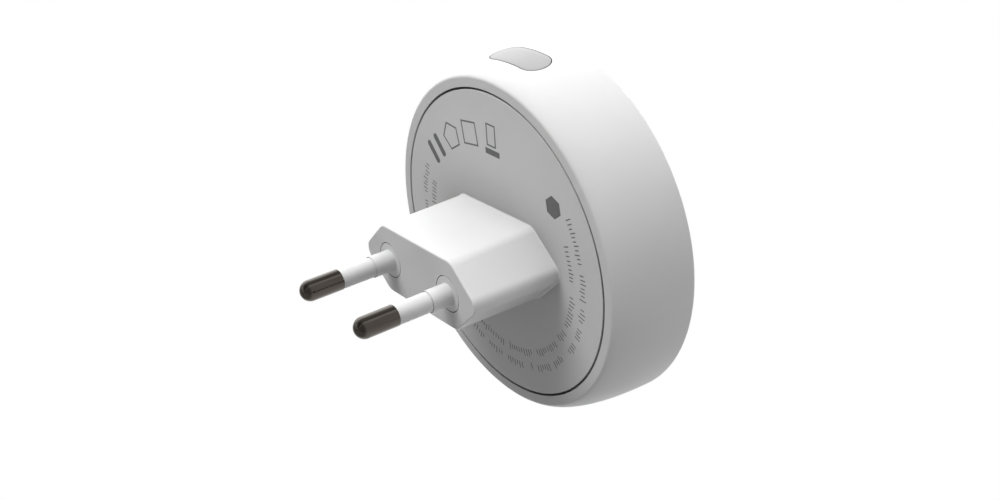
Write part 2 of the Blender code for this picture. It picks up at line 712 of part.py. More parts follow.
def sensor_light_shield():
    """A black sleeve round the light pipe, which keeps the lamp's own light off the sensor."""
    centre = (0.0, disc_y(PIPE_DEPTH), sum(PIPE_ENDS_Z) / 2 - 0.15 * MM)
    wall = Vector((0.7, 0.55, -0.55)) * MM
    shield = box("sensor_light_shield", centre, SHIELD_SIZE, "black_plastic")
    hollow = box("shield hollow", centre, SHIELD_SIZE - 2 * wall)
    combine(shield, [hollow], "DIFFERENCE")


def phototransistor():
    """The light sensor: a small domed package looking up, with two bent legs to the board."""
    y, radius, flange = disc_y(SENSOR_DEPTH), 1.25 * MM, 1.55 * MM
    foot_z = 23.5 * MM
    profile = [(0.0, 0.0), (flange, 0.0), (flange, 0.8 * MM), (radius, 0.8 * MM)]
    dome_start = SENSOR_TOP_Z - foot_z - radius
    for step in range(5):
        angle = math.pi / 2 * step / 4
        profile.append((radius * math.cos(angle), dome_start + radius * math.sin(angle)))
    bm = turned_mesh(profile, SCREW_SEGMENTS)
    upright = Matrix.Translation((0, y, foot_z)) @ Matrix.Rotation(math.pi / 2, 4, "X")
    bmesh.ops.transform(bm, matrix=upright, verts=bm.verts)
    sensor = add_object("phototransistor", bm, "clear_plastic")
    legs = []
    half_leg, leg_x, bend_z = 0.2 * MM, 0.65 * MM, 22.4 * MM
    board_y = disc_y(BOARD_DEPTH) + FIT_GAP
    for side in (-1, 1):
        x = side * leg_x
        down_low = (x - half_leg, y - half_leg, bend_z)
        down_high = (x + half_leg, y + half_leg, foot_z + 0.4 * MM)
        legs.append(add_object(f"leg down {side}", box_mesh(down_low, down_high)))
        back_low = (x - half_leg, board_y, bend_z)
        back_high = (x + half_leg, y + half_leg * 0.9, bend_z + 2 * half_leg)
        legs.append(add_object(f"leg back {side}", box_mesh(back_low, back_high)))
    combine(sensor, legs, "UNION")


# ---------------------------------------------------------------- board and its parts


def led_angles():
    return [360 / LED_COUNT * (number + 0.5) for number in range(LED_COUNT)]


def main_board():
    """The round circuit board, drilled for its screws and for the tray's pegs, with a keying notch."""
    back, front = disc_y(BOARD_DEPTH), disc_y(BOARD_DEPTH + BOARD_THICKNESS)
    profile = [(0.0, back), (BOARD_RADIUS, back), (BOARD_RADIUS, front), (0.0, front)]
    board = turned("main_board", profile, "board", LARGE_SEGMENTS)
    holes = []
    for degrees in BOSS_ANGLES + PEG_ANGLES:
        radius = SCREW_HOLE_RADIUS if degrees in BOSS_ANGLES else PEG_RADIUS + 0.2 * MM
        near, far = (on_circle(BOSS_CIRCLE, degrees, y) for y in (back + 1 * MM, front - 1 * MM))
        holes.append(rod(f"board hole {degrees}", near, far, radius, segments=SCREW_SEGMENTS))
    half_notch = 1.5 * MM
    notch_low = (-half_notch, front - 1 * MM, -BOARD_RADIUS - 1 * MM)
    notch_high = (half_notch, back + 1 * MM, -BOARD_RADIUS + half_notch)
    holes.append(add_object("board notch", box_mesh(notch_low, notch_high)))
    combine(board, holes, "DIFFERENCE")
    head_y = front - FIT_GAP
    for number, degrees in enumerate(BOSS_ANGLES, 1):
        screw(f"board_screw_{number}", on_circle(BOSS_CIRCLE, degrees, head_y), 5.4 * MM)


def leds():
    """The ring of surface-mounted LEDs: a white body with a sunken round emitting face."""
    front = disc_y(BOARD_DEPTH + BOARD_THICKNESS) - FIT_GAP / 2
    low, high = -LED_SIZE / 2, LED_SIZE / 2
    for number, degrees in enumerate(led_angles(), 1):
        bm = box_mesh(low, high, bevel=0.12 * MM)
        led = add_object(f"led_{number}", bm, "led")
        led.location = on_circle(LED_CIRCLE, degrees, front - LED_SIZE.y / 2)
        led.rotation_euler = (0, math.radians(90 - degrees), 0)
        face = rod(
            f"led face {number}",
            (0, -LED_SIZE.y, 0),
            (0, -LED_SIZE.y / 2 + 0.15 * MM, 0),
            1.05 * MM,
            segments=SCREW_SEGMENTS,
        )
        face.parent = led
        combine(led, [face], "DIFFERENCE")


def standing_parts():
    """The two tall capacitors, which reach from the board into the hollow plug body."""
    board_y = disc_y(BOARD_DEPTH) + 2 * FIT_GAP
    film_top = -15.0 * MM
    film_centre = (0.0, (board_y + film_top) / 2, -2.6 * MM)
    film_size = (12.4 * MM, film_top - board_y, 5.0 * MM)
    box("film_capacitor", film_centre, film_size, "film_box", bevel=0.4 * MM)
    can_radius, groove, can_top = 2.5 * MM, 0.2 * MM, -14.6 * MM
    bead = board_y + 1.6 * MM
    can = [
        (0.0, board_y),
        (can_radius - groove, board_y),
        (can_radius, board_y + groove),
        (can_radius, bead - 2 * groove),
        (can_radius - groove, bead - groove),
        (can_radius - groove, bead),
        (can_radius, bead + groove),
        (can_radius, can_top - groove),
        (can_radius - groove, can_top),
        (can_radius - 2 * groove, can_top),
        (can_radius - 3 * groove, can_top - groove),
        (0.0, can_top - groove),
    ]
    capacitor = turned("electrolytic_capacitor", can, "capacitor_can")
    capacitor.location = (-3.2 * MM, 0.0, 2.85 * MM)


def leaded_part(obj, name, leads):
    """Joins square leads to a part, each between two corners."""
    parts = [add_object(f"{name} lead {i}", box_mesh(*ends)) for i, ends in enumerate(leads, 1)]
    return combine(obj, parts, "UNION")


def fusible_resistor():
    y, z, radius, half = disc_y(4.9 * MM), -12.5 * MM, 1.3 * MM, 3.2 * MM
    waist = radius * 0.85
    profile = [
        (0.0, -half),
        (waist, -half),
        (radius, -half + 0.3 * MM),
        (radius, -half + 1.3 * MM),
        (waist, -half + 1.6 * MM),
        (waist, half - 1.6 * MM),
        (radius, half - 1.3 * MM),
        (radius, half - 0.3 * MM),
        (waist, half),
        (0.0, half),
    ]
    bm = turned_mesh(profile, SCREW_SEGMENTS)
    lying = Matrix.Translation((0, y, z)) @ Matrix.Rotation(math.pi / 2, 4, "Z")
    bmesh.ops.transform(bm, matrix=lying, verts=bm.verts)
    body = add_object("fusible_resistor", bm, "resistor_body")
    board_y, wire = disc_y(BOARD_DEPTH) + FIT_GAP, 0.25 * MM
    leads = []
    for side in (-1, 1):
        near, far = sorted((side * (half - 0.5 * MM), side * 5.2 * MM))
        leads.append(((near, y - wire, z - wire), (far, y + wire, z + wire)))
        bend = side * 5.2 * MM
        low = (bend - wire, board_y, z - wire * 0.9)
        leads.append((low, (bend + wire, y + wire * 0.9, z + wire * 0.9)))
    leaded_part(body, "fusible resistor", leads)


def varistor():
    """The surge-absorbing disc, lying flat over the board."""
    thickness, radius, edge = 2.6 * MM, 3.5 * MM, 0.6 * MM
    low = disc_y(BOARD_DEPTH) + 3 * FIT_GAP
    high = low + thickness
    profile = [
        (0.0, low),
        (radius - edge, low),
        (radius, low + edge),
        (radius, high - edge),
        (radius - edge, high),
        (0.0, high),
    ]
    disc = turned("varistor", profile, "varistor_disc")
    x, z = 13.5 * MM, -12.5 * MM
    disc.location = (x, 0.0, z)
    board_y, wire = disc_y(BOARD_DEPTH) + FIT_GAP, 0.25 * MM
    leads = []
    for side in (-1, 1):
        middle = z + side * 2.0 * MM
        low_corner = (x - radius - 1.2 * MM, low + 0.9 * MM, middle - wire)
        leads.append((low_corner, (x - radius + 1.0 * MM, low + 1.3 * MM, middle + wire)))
        foot_low = (x - radius - 1.2 * MM, board_y, middle - wire * 0.9)
        leads.append((foot_low, (x - radius - 0.8 * MM, low + 1.25 * MM, middle + wire * 0.9)))
    leaded_part(disc, "varistor", leads)


def chip(name, x, z, size, legs_per_side, pitch):
    """A flat black package on the board's rear, with gull-wing legs along two sides."""
    board_y = disc_y(BOARD_DEPTH) + FIT_GAP
    length, height, width = size
    lift = 0.15 * MM
    centre = (x, board_y + lift + height / 2, z)
    package = box(name, centre, (length, height, width), "black_plastic", bevel=0.2 * MM)
    leads = []
    for row in range(legs_per_side):
        leg_x = x + (row - (legs_per_side - 1) / 2) * pitch
        for side in (-1, 1):
            near, far = sorted((z + side * (width / 2 - 0.4 * MM), z + side * (width / 2 + 0.55 * MM)))
            top = board_y + lift + height * 0.45
            low = (leg_x - 0.2 * MM, top - 0.2 * MM, near)
            leads.append((low, (leg_x + 0.2 * MM, top, far)))
            edge = z + side * (width / 2 + 0.45 * MM)
            foot_low = (leg_x - 0.18 * MM, board_y, edge - 0.12 * MM)
            leads.append((foot_low, (leg_x + 0.18 * MM, top - 0.02 * MM, edge + 0.12 * MM)))
    leaded_part(package, name, leads)


def chip_resistors():
    size = Vector((3.2, 0.6, 1.6)) * MM
    y = disc_y(BOARD_DEPTH) + FIT_GAP + size.y / 2
    places = ((-8.0, 12.6), (-12.2, 12.6), (-8.0, 15.6), (-12.2, 15.6))
    for number, (x, z) in enumerate(places, 1):
        box(f"chip_resistor_{number}", (x * MM, y, z * MM), size, "black_plastic", bevel=0.12 * MM)


def build():
    clear_scene()
    housing_ring()
    rear_cover()
    front_diffuser()
    reflector_tray()
    pin_parts("left", -PIN_SPACING / 2)
    pin_parts("right", PIN_SPACING / 2)
    pin_clamp()
    contact_spring("left", -1)
    contact_spring("right", 1)
    sensor_window()
    sensor_light_pipe()
    sensor_light_shield()
    phototransistor()
    main_board()
    leds()
    standing_parts()
    fusible_resistor()
    varistor()
    chip("bridge_rectifier", -13.5 * MM, -12.5 * MM, Vector((4.7, 2.2, 3.9)) * MM, 2, 2.5 * MM)
    chip("driver_chip", 10.5 * MM, 14.0 * MM, Vector((4.9, 1.5, 3.9)) * MM, 4, 1.27 * MM)
    chip_resistors()


build()
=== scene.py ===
import math
import random

import bmesh
import bpy
from mathutils import Matrix, Vector


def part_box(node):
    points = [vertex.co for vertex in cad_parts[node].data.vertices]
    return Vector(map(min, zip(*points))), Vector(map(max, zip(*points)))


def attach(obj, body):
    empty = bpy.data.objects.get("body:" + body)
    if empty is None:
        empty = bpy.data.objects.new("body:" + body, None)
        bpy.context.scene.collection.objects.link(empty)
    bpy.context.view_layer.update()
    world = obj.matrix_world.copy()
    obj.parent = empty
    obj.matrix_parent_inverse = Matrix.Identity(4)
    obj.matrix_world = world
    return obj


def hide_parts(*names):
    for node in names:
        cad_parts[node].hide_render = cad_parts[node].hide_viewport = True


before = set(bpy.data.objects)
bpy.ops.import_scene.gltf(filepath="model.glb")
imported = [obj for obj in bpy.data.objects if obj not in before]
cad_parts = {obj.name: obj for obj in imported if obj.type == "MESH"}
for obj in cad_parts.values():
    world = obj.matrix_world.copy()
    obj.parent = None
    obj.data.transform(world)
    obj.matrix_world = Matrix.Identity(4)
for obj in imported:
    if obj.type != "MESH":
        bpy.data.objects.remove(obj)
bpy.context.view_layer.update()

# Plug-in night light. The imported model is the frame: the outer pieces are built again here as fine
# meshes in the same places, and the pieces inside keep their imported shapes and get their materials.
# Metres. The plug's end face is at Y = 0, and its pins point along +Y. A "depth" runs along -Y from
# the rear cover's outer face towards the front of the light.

MM = 0.001
BODY = "root"
ROUND_SEGMENTS = 256
PIN_SEGMENTS = 96
HOLE_SEGMENTS = 96
BOSS_SEGMENTS = 32
SMOOTH_ANGLE = math.radians(32)
SAME_POINT = 0.0001 * MM
WELD = 0.0005 * MM  # points this close after a boolean are one point

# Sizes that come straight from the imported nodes
HOUSING_LOW, HOUSING_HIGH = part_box("housing_ring")
SLEEVE_LOW, SLEEVE_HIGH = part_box("pin_sleeve_right")
BUSH_LOW, BUSH_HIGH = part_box("pin_bush_right")
PIN_LOW, PIN_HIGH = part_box("pin_right")
PLATE_Y = HOUSING_HIGH.y
HOUSING_RADIUS = HOUSING_HIGH.x
FRONT_DEPTH = PLATE_Y - HOUSING_LOW.y
COVER_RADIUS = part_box("rear_cover")[1].x
DIFFUSER_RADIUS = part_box("front_diffuser")[1].x
BOARD_BACK_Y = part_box("main_board")[1].y
PIN_X = (PIN_LOW.x + PIN_HIGH.x) / 2
SLEEVE_RADIUS = (SLEEVE_HIGH.x - SLEEVE_LOW.x) / 2
BUSH_RADIUS = (BUSH_HIGH.x - BUSH_LOW.x) / 2

# Disc
SEAM_WIDTH = 0.45 * MM
RIM_RADIUS = 32.3 * MM  # where the side wall's curve would meet the back plane
RIM_EDGE = 0.3 * MM
RIM_ANGLE = math.radians(11.5)
FRONT_EDGE_RADIUS = 0.4 * MM
WIDEST_DEPTH = FRONT_DEPTH - FRONT_EDGE_RADIUS
COVER_THICKNESS = 1.8 * MM
REAR_LEDGE = (29.1 * MM, 1.9 * MM, 3.0 * MM)  # radius, and the depths it runs between
FRONT_LEDGE = (32.6 * MM, 13.1 * MM, 14.3 * MM)
DIFFUSER_SEAT_RADIUS = 33.8 * MM
DISH_RADIUS = 31.5 * MM
DISH_RIM_DEPTH = 16.2 * MM
DISH_CENTRE_DEPTH = 14.7 * MM
DIFFUSER_THICKNESS = 1.6 * MM
DIFFUSER_SKIRT = (31.0 * MM, 32.45 * MM, 11.95 * MM)  # inner radius, outer radius, depth of its end

# Plug body: the half width at the side corners, the half flat and the half height at each end
FACE_HEXAGON = (18.82 * MM, 11.2 * MM, 6.75 * MM)
BASE_HEXAGON = (19.2 * MM, 11.0 * MM, 7.28 * MM)
SIDE_CORNER_RADIUS = 2.3 * MM
TOP_CORNER_RADIUS = 3.0 * MM
PLUG_WALL = 1.6 * MM
PLUG_END_WALL = 3.2 * MM
PLUG_EDGE_ROUND = 0.3 * MM
PLUG_FOOT_ROUND = 0.25 * MM

# Pins
PIN_RADIUS = 2.0 * MM
PIN_CORE_RADIUS = 1.5 * MM
PIN_TAIL_RADIUS = 1.3 * MM
PIN_HEAD_THICKNESS = 1.6 * MM
SLEEVE_END_Y = 11.0 * MM
COLLAR_RADIUS = 2.05 * MM
COLLAR_MOUTH = (0.05 * MM, 0.6 * MM)  # how much wider the collar's bore is at its open end, and how deep
BUSH_FLANGE_THICKNESS = 1.9 * MM
BUSH_TAIL_RADIUS = 2.9 * MM
HAIRLINE = 0.1 * MM

# Sensor window, at the top of the disc
WINDOW_SIZE = (14.3 * MM, 5.9 * MM)  # across the disc, and along its depth
WINDOW_CORNER_RADIUS = 2.9 * MM
WINDOW_DEPTH = 8.25 * MM
WINDOW_GAP = 0.2 * MM
WINDOW_EDGE_ROUND = 0.04 * MM
WINDOW_FLANGE = 0.6 * MM
WINDOW_FLANGE_RADII = (31.2 * MM, 32.3 * MM)


# ---------------------------------------------------------------- mesh helpers


def disc_y(depth):
    return PLATE_Y - depth


def finish_piece(obj, material, slot, *nodes):
    """Gives a new piece its material and its body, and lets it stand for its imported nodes."""
    obj.data.materials.clear()
    obj.data.materials.append(material)
    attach(obj, BODY)
    if nodes:
        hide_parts(*nodes)
    return obj


def add_object(name, points, faces):
    mesh = bpy.data.meshes.new(name)
    mesh.from_pydata([tuple(point) for point in points], [], faces)
    bm = bmesh.new()
    bm.from_mesh(mesh)
    bmesh.ops.remove_doubles(bm, verts=bm.verts, dist=SAME_POINT)
    bmesh.ops.recalc_face_normals(bm, faces=bm.faces)
    bm.to_mesh(mesh)
    bm.free()
    shade(mesh)
    obj = bpy.data.objects.new(name, mesh)
    bpy.context.scene.collection.objects.link(obj)
    return obj


def shade(mesh):
    mesh.shade_smooth()
    mesh.set_sharp_from_angle(angle=SMOOTH_ANGLE)


def even_shading(obj):
    """Lets a flat face keep its flat shading right up to a small rounding."""
    modifier = obj.modifiers.new("even shading", "WEIGHTED_NORMAL")
    modifier.weight = 80
    modifier.keep_sharp = True
    return obj


def rounded(corners, steps=4):
    """An outline from (x, y, fillet) corners, in order round it. A fillet of 0 is one plain point."""
    outline = []
    for i, (x, y, fillet) in enumerate(corners):
        corner = Vector((x, y))
        if not fillet:
            outline.append(corner)
            continue
        before = (Vector(corners[i - 1][:2]) - corner).normalized()
        after = (Vector(corners[(i + 1) % len(corners)][:2]) - corner).normalized()
        half_angle = before.angle(after) / 2
        centre = corner + (before + after).normalized() * fillet / math.sin(half_angle)
        first = corner + before * fillet / math.tan(half_angle) - centre
        last = corner + after * fillet / math.tan(half_angle) - centre
        turn = first.angle_signed(last)
        for step in range(steps + 1):
            spoke = first.copy()
            spoke.rotate(Matrix.Rotation(-turn * step / steps, 2))
            outline.append(centre + spoke)
    return outline


def quarter_round(radius, steps):
    """(inset, drop) pairs over a round edge, from its side to its top."""
    angles = [math.pi / 2 * step / steps for step in range(steps + 1)]
    return [(radius * (1 - math.cos(a)), radius * (1 - math.sin(a))) for a in angles]


def turned(name, outline, segments=ROUND_SEGMENTS, centre_x=0.0):
    """A piece turned about a line along Y, from a closed outline of (radius, y) points."""
    points, faces, rings = [], [], []
    for radius, y in outline:
        start = len(points)
        if radius < SAME_POINT:
            points.append((centre_x, y, 0.0))
            rings.append([start] * segments)
            continue
        for k in range(segments):
            angle = 2 * math.pi * k / segments
            points.append((centre_x + radius * math.cos(angle), y, radius * math.sin(angle)))
        rings.append(list(range(start, start + segments)))
    for near, far in zip(rings, rings[1:] + rings[:1]):
        for k in range(segments):
            corners = [near[k - 1], near[k], far[k], far[k - 1]]
            face = list(dict.fromkeys(corners))
            if len(face) > 2:
                faces.append(face)
    return add_object(name, points, faces)


def lofted(name, rings):
    """A piece through rings of points with equal counts. A ring of one point closes that end."""
    points, faces, loops = [], [], []
    count = max(len(ring) for ring in rings)
    for ring in rings:
        start = len(points)
        points += list(ring)
        loops.append([start] * count if len(ring) == 1 else list(range(start, start + count)))
    for near, far in zip(loops, loops[1:]):
        for i in range(count):
            face = list(dict.fromkeys([near[i - 1], near[i], far[i], far[i - 1]]))
            if len(face) > 2:
                faces.append(face)
    faces += [loop for loop in (loops[0], loops[-1]) if len(set(loop)) > 1]
    return add_object(name, points, faces)


def rod(name, x, z, near_y, far_y, radius, segments=BOSS_SEGMENTS):
    """A plain round bar along Y, used to join on or cut away."""
    outline = [(0.0, near_y), (radius, near_y), (radius, far_y), (0.0, far_y)]
    obj = turned(name, outline, segments)
    obj.data.transform(Matrix.Translation((x, 0.0, z)))
    return obj


def block(name, low, high):
    """A plain box between two corners, used to join on or cut away."""
    (x0, y0, z0), (x1, y1, z1) = low, high
    base = [(x0, y0, z0), (x1, y0, z0), (x1, y1, z0), (x0, y1, z0)]
    top = [(x, y, z1) for x, y, _ in base]
    return lofted(name, [base, top])


def combine(obj, others, operation):
    """Joins the other shapes on, or cuts them away, and keeps only the result."""
    for other in others:
        modifier = obj.modifiers.new(other.name, "BOOLEAN")
        modifier.operation = operation
        modifier.solver = "MANIFOLD"
        modifier.object = other
    graph = bpy.context.evaluated_depsgraph_get()
    result = bpy.data.meshes.new_from_object(obj.evaluated_get(graph))
    obj.modifiers.clear()
    obj.data = result
    for other in others:
        bpy.data.objects.remove(other, do_unlink=True)
    bm = bmesh.new()
    bm.from_mesh(result)
    bmesh.ops.remove_doubles(bm, verts=bm.verts, dist=WELD)
    bmesh.ops.dissolve_degenerate(bm, edges=bm.edges, dist=WELD)
    bm.to_mesh(result)
    bm.free()
    shade(result)
    return obj


# ---------------------------------------------------------------- shapes


def side_wall(angle):
    """(radius, depth) on the side wall's ellipse, from the rim's corner to the widest place."""
    across = (math.sin(angle) - math.sin(RIM_ANGLE)) / (1 - math.sin(RIM_ANGLE))
    along = 1 - math.cos(angle) / math.cos(RIM_ANGLE)
    return RIM_RADIUS + (HOUSING_RADIUS - RIM_RADIUS) * across, WIDEST_DEPTH * along


def side_radius(depth):
    """The housing's outer radius at a depth."""
    share = min(max(depth / WIDEST_DEPTH, 0.0), 1.0)
    return side_wall(math.acos((1 - share) * math.cos(RIM_ANGLE)))[0]


def housing_outside(steps=40, edge_steps=12):
    """The outer profile: a small round edge on the rim, the curved side and the round front edge."""
    angles = [RIM_ANGLE + (math.pi / 2 - RIM_ANGLE) * step / steps for step in range(steps + 1)]
    side = [Vector(side_wall(angle)) for angle in angles]
    while (side[1] - side[0]).length < RIM_EDGE:
        side.pop(1)
    corner = side.pop(0)
    before = corner - Vector((RIM_EDGE, 0.0))
    after = corner + (side[0] - corner).normalized() * RIM_EDGE
    turn = [before.lerp(corner, k / 8).lerp(corner.lerp(after, k / 8), k / 8) for k in range(9)]
    corners = [(radius, disc_y(depth), 0) for radius, depth in turn + side]
    for step in range(1, edge_steps + 1):
        angle = math.pi / 2 * step / edge_steps
        radius = HOUSING_RADIUS - FRONT_EDGE_RADIUS * (1 - math.cos(angle))
        corners.append((radius, disc_y(WIDEST_DEPTH + FRONT_EDGE_RADIUS * math.sin(angle)), 0))
    return corners


def window_outline(grow, steps=14, side_steps=24):
    """The sensor window's outline as (x, depth) pairs, grown on all sides."""
    half_x, half_depth = WINDOW_SIZE[0] / 2 + grow, WINDOW_SIZE[1] / 2 + grow
    radius = WINDOW_CORNER_RADIUS + grow
    signs = ((1, 1), (-1, 1), (-1, -1), (1, -1))
    corners = [(sx * half_x, WINDOW_DEPTH + sy * half_depth, radius) for sx, sy in signs]
    arcs = rounded(corners, steps)
    outline = []
    for i, point in enumerate(arcs):
        outline.append(point)
        following = arcs[(i + 1) % len(arcs)]
        gap = following - point
        count = side_steps if gap.length > 4 * MM else 1
        outline += [point + gap * k / count for k in range(1, count)]
    return outline


def on_side_wall(outline, drop):
    """Lifts (x, depth) pairs up to the housing's outer surface, less a drop."""
    return [
        (x, disc_y(depth), math.sqrt(side_radius(depth) ** 2 - x * x) - drop) for x, depth in outline
    ]


def on_cylinder(outline, radius):
    return [(x, disc_y(depth), math.sqrt(radius**2 - x * x)) for x, depth in outline]


def shrunk(outline, share):
    """The outline drawn in towards its own middle line, to fill it with rings."""
    half_line = (WINDOW_SIZE[0] - WINDOW_SIZE[1]) / 2
    ring = []
    for x, depth in outline:
        spine = min(max(x, -half_line), half_line)
        ring.append((spine + (x - spine) * share, WINDOW_DEPTH + (depth - WINDOW_DEPTH) * share))
    return ring


def housing_shell():
    """The disc's shell with a softly rounded opening for the sensor window."""
    seat = COVER_RADIUS + SEAM_WIDTH
    rear_radius, rear_top, rear_foot = REAR_LEDGE
    front_radius, front_foot, front_top = FRONT_LEDGE
    lead_in = 0.9 * MM
    soft = 0.2 * MM
    inside = [
        (DIFFUSER_SEAT_RADIUS, disc_y(FRONT_DEPTH), soft),
        (DIFFUSER_SEAT_RADIUS, disc_y(front_top), 0),
        (front_radius, disc_y(front_top), soft),
        (front_radius, disc_y(front_foot), soft),
        (front_radius + lead_in, disc_y(front_foot - lead_in), 0),
        (RIM_RADIUS, disc_y(rear_foot + 0.5 * MM), 0),
        (RIM_RADIUS - 0.5 * MM, disc_y(rear_foot), 0),
        (rear_radius, disc_y(rear_foot), soft),
        (rear_radius, disc_y(rear_top), soft),
        (seat, disc_y(rear_top), 0),
        (seat, disc_y(0.0), 0.06 * MM),
    ]
    shell = turned("housing_shell", rounded(housing_outside() + inside), 2 * ROUND_SEGMENTS)
    rings = [on_cylinder(window_outline(WINDOW_GAP), 0.9 * WINDOW_FLANGE_RADII[0])]
    rings.append(on_side_wall(window_outline(WINDOW_GAP), WINDOW_EDGE_ROUND))
    for spread, drop in quarter_round(WINDOW_EDGE_ROUND, 3)[1:]:
        rings.append(on_side_wall(window_outline(WINDOW_GAP + spread), drop))
    rings.append(on_side_wall(window_outline(WINDOW_GAP + WINDOW_EDGE_ROUND), -1 * MM))
    return combine(shell, [lofted("window opening", rings)], "DIFFERENCE")


def sensor_window():
    """The grey window: a flange under the wall, a neck, a fine round edge and a flush outer face."""
    inner, outer = WINDOW_FLANGE_RADII
    flange = window_outline(WINDOW_FLANGE)
    neck = window_outline(0.0)
    edge = window_outline(-WINDOW_EDGE_ROUND)
    shares = [0.0, 0.25, 0.5, 0.75]
    rings = [on_cylinder(shrunk(flange, share), inner) for share in shares + [1.0]]
    rings += [on_cylinder(flange, outer), on_cylinder(neck, outer)]
    for inset, drop in quarter_round(WINDOW_EDGE_ROUND, 3):
        rings.append(on_side_wall(window_outline(-inset), drop))
    rings += [on_side_wall(shrunk(edge, share), 0.0) for share in shares[:0:-1] + [0.0]]
    return lofted("sensor_window_lens", rings)


def hexagon_ring(y, inset=0.0, arc_steps=10, flat_steps=48, slant_steps=20):
    """The plug body's rounded hexagon at a Y, moved in by an inset, with points along its flats."""
    share = (y - PLATE_Y) / -PLATE_Y
    shape = [base + (face - base) * share for base, face in zip(BASE_HEXAGON, FACE_HEXAGON)]
    half_width, half_flat, half_height = shape
    slant = math.hypot(half_width - half_flat, half_height)
    side = half_width - inset * slant / half_height
    top = half_height - inset
    flat = side - (half_width - half_flat) * top / half_height
    side_round = max(SIDE_CORNER_RADIUS - inset, 0.5 * MM)
    top_round = max(TOP_CORNER_RADIUS - inset, 0.5 * MM)
    signs = ((1, 0), (1, 1), (-1, 1), (-1, 0), (-1, -1), (1, -1))
    corners = [
        (sx * (flat if sz else side), sz * top, top_round if sz else side_round) for sx, sz in signs
    ]
    arcs = rounded(corners, arc_steps)
    ring = []
    for i, point in enumerate(arcs):
        ring.append(point)
        if i % (arc_steps + 1) == arc_steps:
            following = arcs[(i + 1) % len(arcs)]
            level = abs(following.y - point.y) < SAME_POINT
            count = flat_steps if level else slant_steps
            ring += [point + (following - point) * k / count for k in range(1, count)]
    return [(x, y, z) for x, z in ring]


def circle_over(ring, radius, y):
    """A circle with one point on the same spoke as each point of a ring."""
    circle = []
    for x, _, z in ring:
        spoke = Vector((x, z)).normalized() * radius
        circle.append((spoke.x, y, spoke.y))
    return circle


def cover_outside():
    """The back plate and the plug body as one solid, from the plate's inner face to the plug's end."""
    base = hexagon_ring(PLATE_Y)
    edge_round = 0.06 * MM
    rings = [circle_over(base, COVER_RADIUS, disc_y(COVER_THICKNESS))]
    for inset, drop in quarter_round(edge_round, 4):
        rings.append(circle_over(base, COVER_RADIUS - inset, disc_y(drop)))
    foot = quarter_round(PLUG_FOOT_ROUND, 4)
    rings += [hexagon_ring(PLATE_Y + rise, -spread) for rise, spread in foot]
    rings += [hexagon_ring(-drop, inset) for inset, drop in quarter_round(PLUG_EDGE_ROUND, 4)]
    return lofted("rear_cover_moulding", rings)


def rear_cover():
    """The back plate with its hollow plug body, posts, skirt, snap hooks and the bushes' holes."""
    cover = cover_outside()
    inside = COVER_THICKNESS
    skirt_inner, skirt_outer, skirt_depth = 27.3 * MM, 28.9 * MM, 4.8 * MM
    hook_radius, hook_top, hook_foot = 29.7 * MM, 3.15 * MM, 4.5 * MM
    hook_sweep, hook_middle = math.radians(24), (skirt_inner + skirt_outer) / 2
    skirt_outline = [
        (skirt_inner, disc_y(inside / 2), 0),
        (skirt_outer, disc_y(inside / 2), 0),
        (skirt_outer, disc_y(skirt_depth), 0.2 * MM),
        (skirt_inner, disc_y(skirt_depth), 0.2 * MM),
    ]
    joined = [turned("skirt", rounded(skirt_outline), ROUND_SEGMENTS)]
    for degrees in (45, 135, 225, 315):
        hook = [
            (hook_middle, disc_y(hook_top)),
            (hook_radius, disc_y(hook_top)),
            (hook_radius, disc_y(hook_top + 0.4 * MM)),
            (skirt_outer, disc_y(hook_foot)),
            (hook_middle, disc_y(hook_foot)),
        ]
        rings = []
        for step in range(13):
            angle = math.radians(degrees) + hook_sweep * (step / 12 - 0.5)
            rings.append([(r * math.cos(angle), y, r * math.sin(angle)) for r, y in hook])
        joined.append(lofted(f"hook {degrees}", rings))
    cover = combine(cover, joined, "UNION")
    cavity_rings = [
        hexagon_ring(disc_y(inside + 1 * MM), PLUG_WALL),
        hexagon_ring(-PLUG_END_WALL, PLUG_WALL),
    ]
    cover = combine(cover, [lofted("cavity", cavity_rings)], "DIFFERENCE")
    board_y = BOARD_BACK_Y + HAIRLINE
    post_end = -9.05 * MM
    post_radius, boss_radius, boss_circle, pilot_radius = 2.2 * MM, 2.5 * MM, 22.0 * MM, 1.1 * MM
    pilot_depth = 4.6 * MM
    joined = [rod("clamp post", 0.0, 0.0, -PLUG_END_WALL / 2, post_end, post_radius)]
    cut = [rod("post pilot", 0.0, 0.0, post_end + pilot_depth, post_end - 1 * MM, pilot_radius)]
    for degrees in (30, 150, 270):
        x = boss_circle * math.cos(math.radians(degrees))
        z = boss_circle * math.sin(math.radians(degrees))
        joined.append(rod(f"boss {degrees}", x, z, disc_y(inside / 2), board_y, boss_radius))
        cut.append(rod(f"pilot {degrees}", x, z, board_y + pilot_depth, board_y - 1 * MM, pilot_radius))
    cover = combine(cover, joined, "UNION")
    for side in (-1, 1):
        x = side * PIN_X
        wide, narrow = BUSH_RADIUS + 1.5 * HAIRLINE, BUSH_TAIL_RADIUS + HAIRLINE
        flange_y = -BUSH_FLANGE_THICKNESS - HAIRLINE
        cut.append(rod(f"seat {side}", x, 0.0, 1 * MM, flange_y, wide, HOLE_SEGMENTS))
        cut.append(rod(f"hole {side}", x, 0.0, -1 * MM, -PLUG_END_WALL - 1 * MM, narrow, HOLE_SEGMENTS))
    notch_low = (-6 * MM, disc_y(skirt_depth + 1 * MM), skirt_inner - 2 * MM)
    notch_high = (6 * MM, disc_y(inside + 0.2 * MM), skirt_outer + 2 * MM)
    cut.append(block("sensor notch", notch_low, notch_high))
    return combine(cover, cut, "DIFFERENCE")


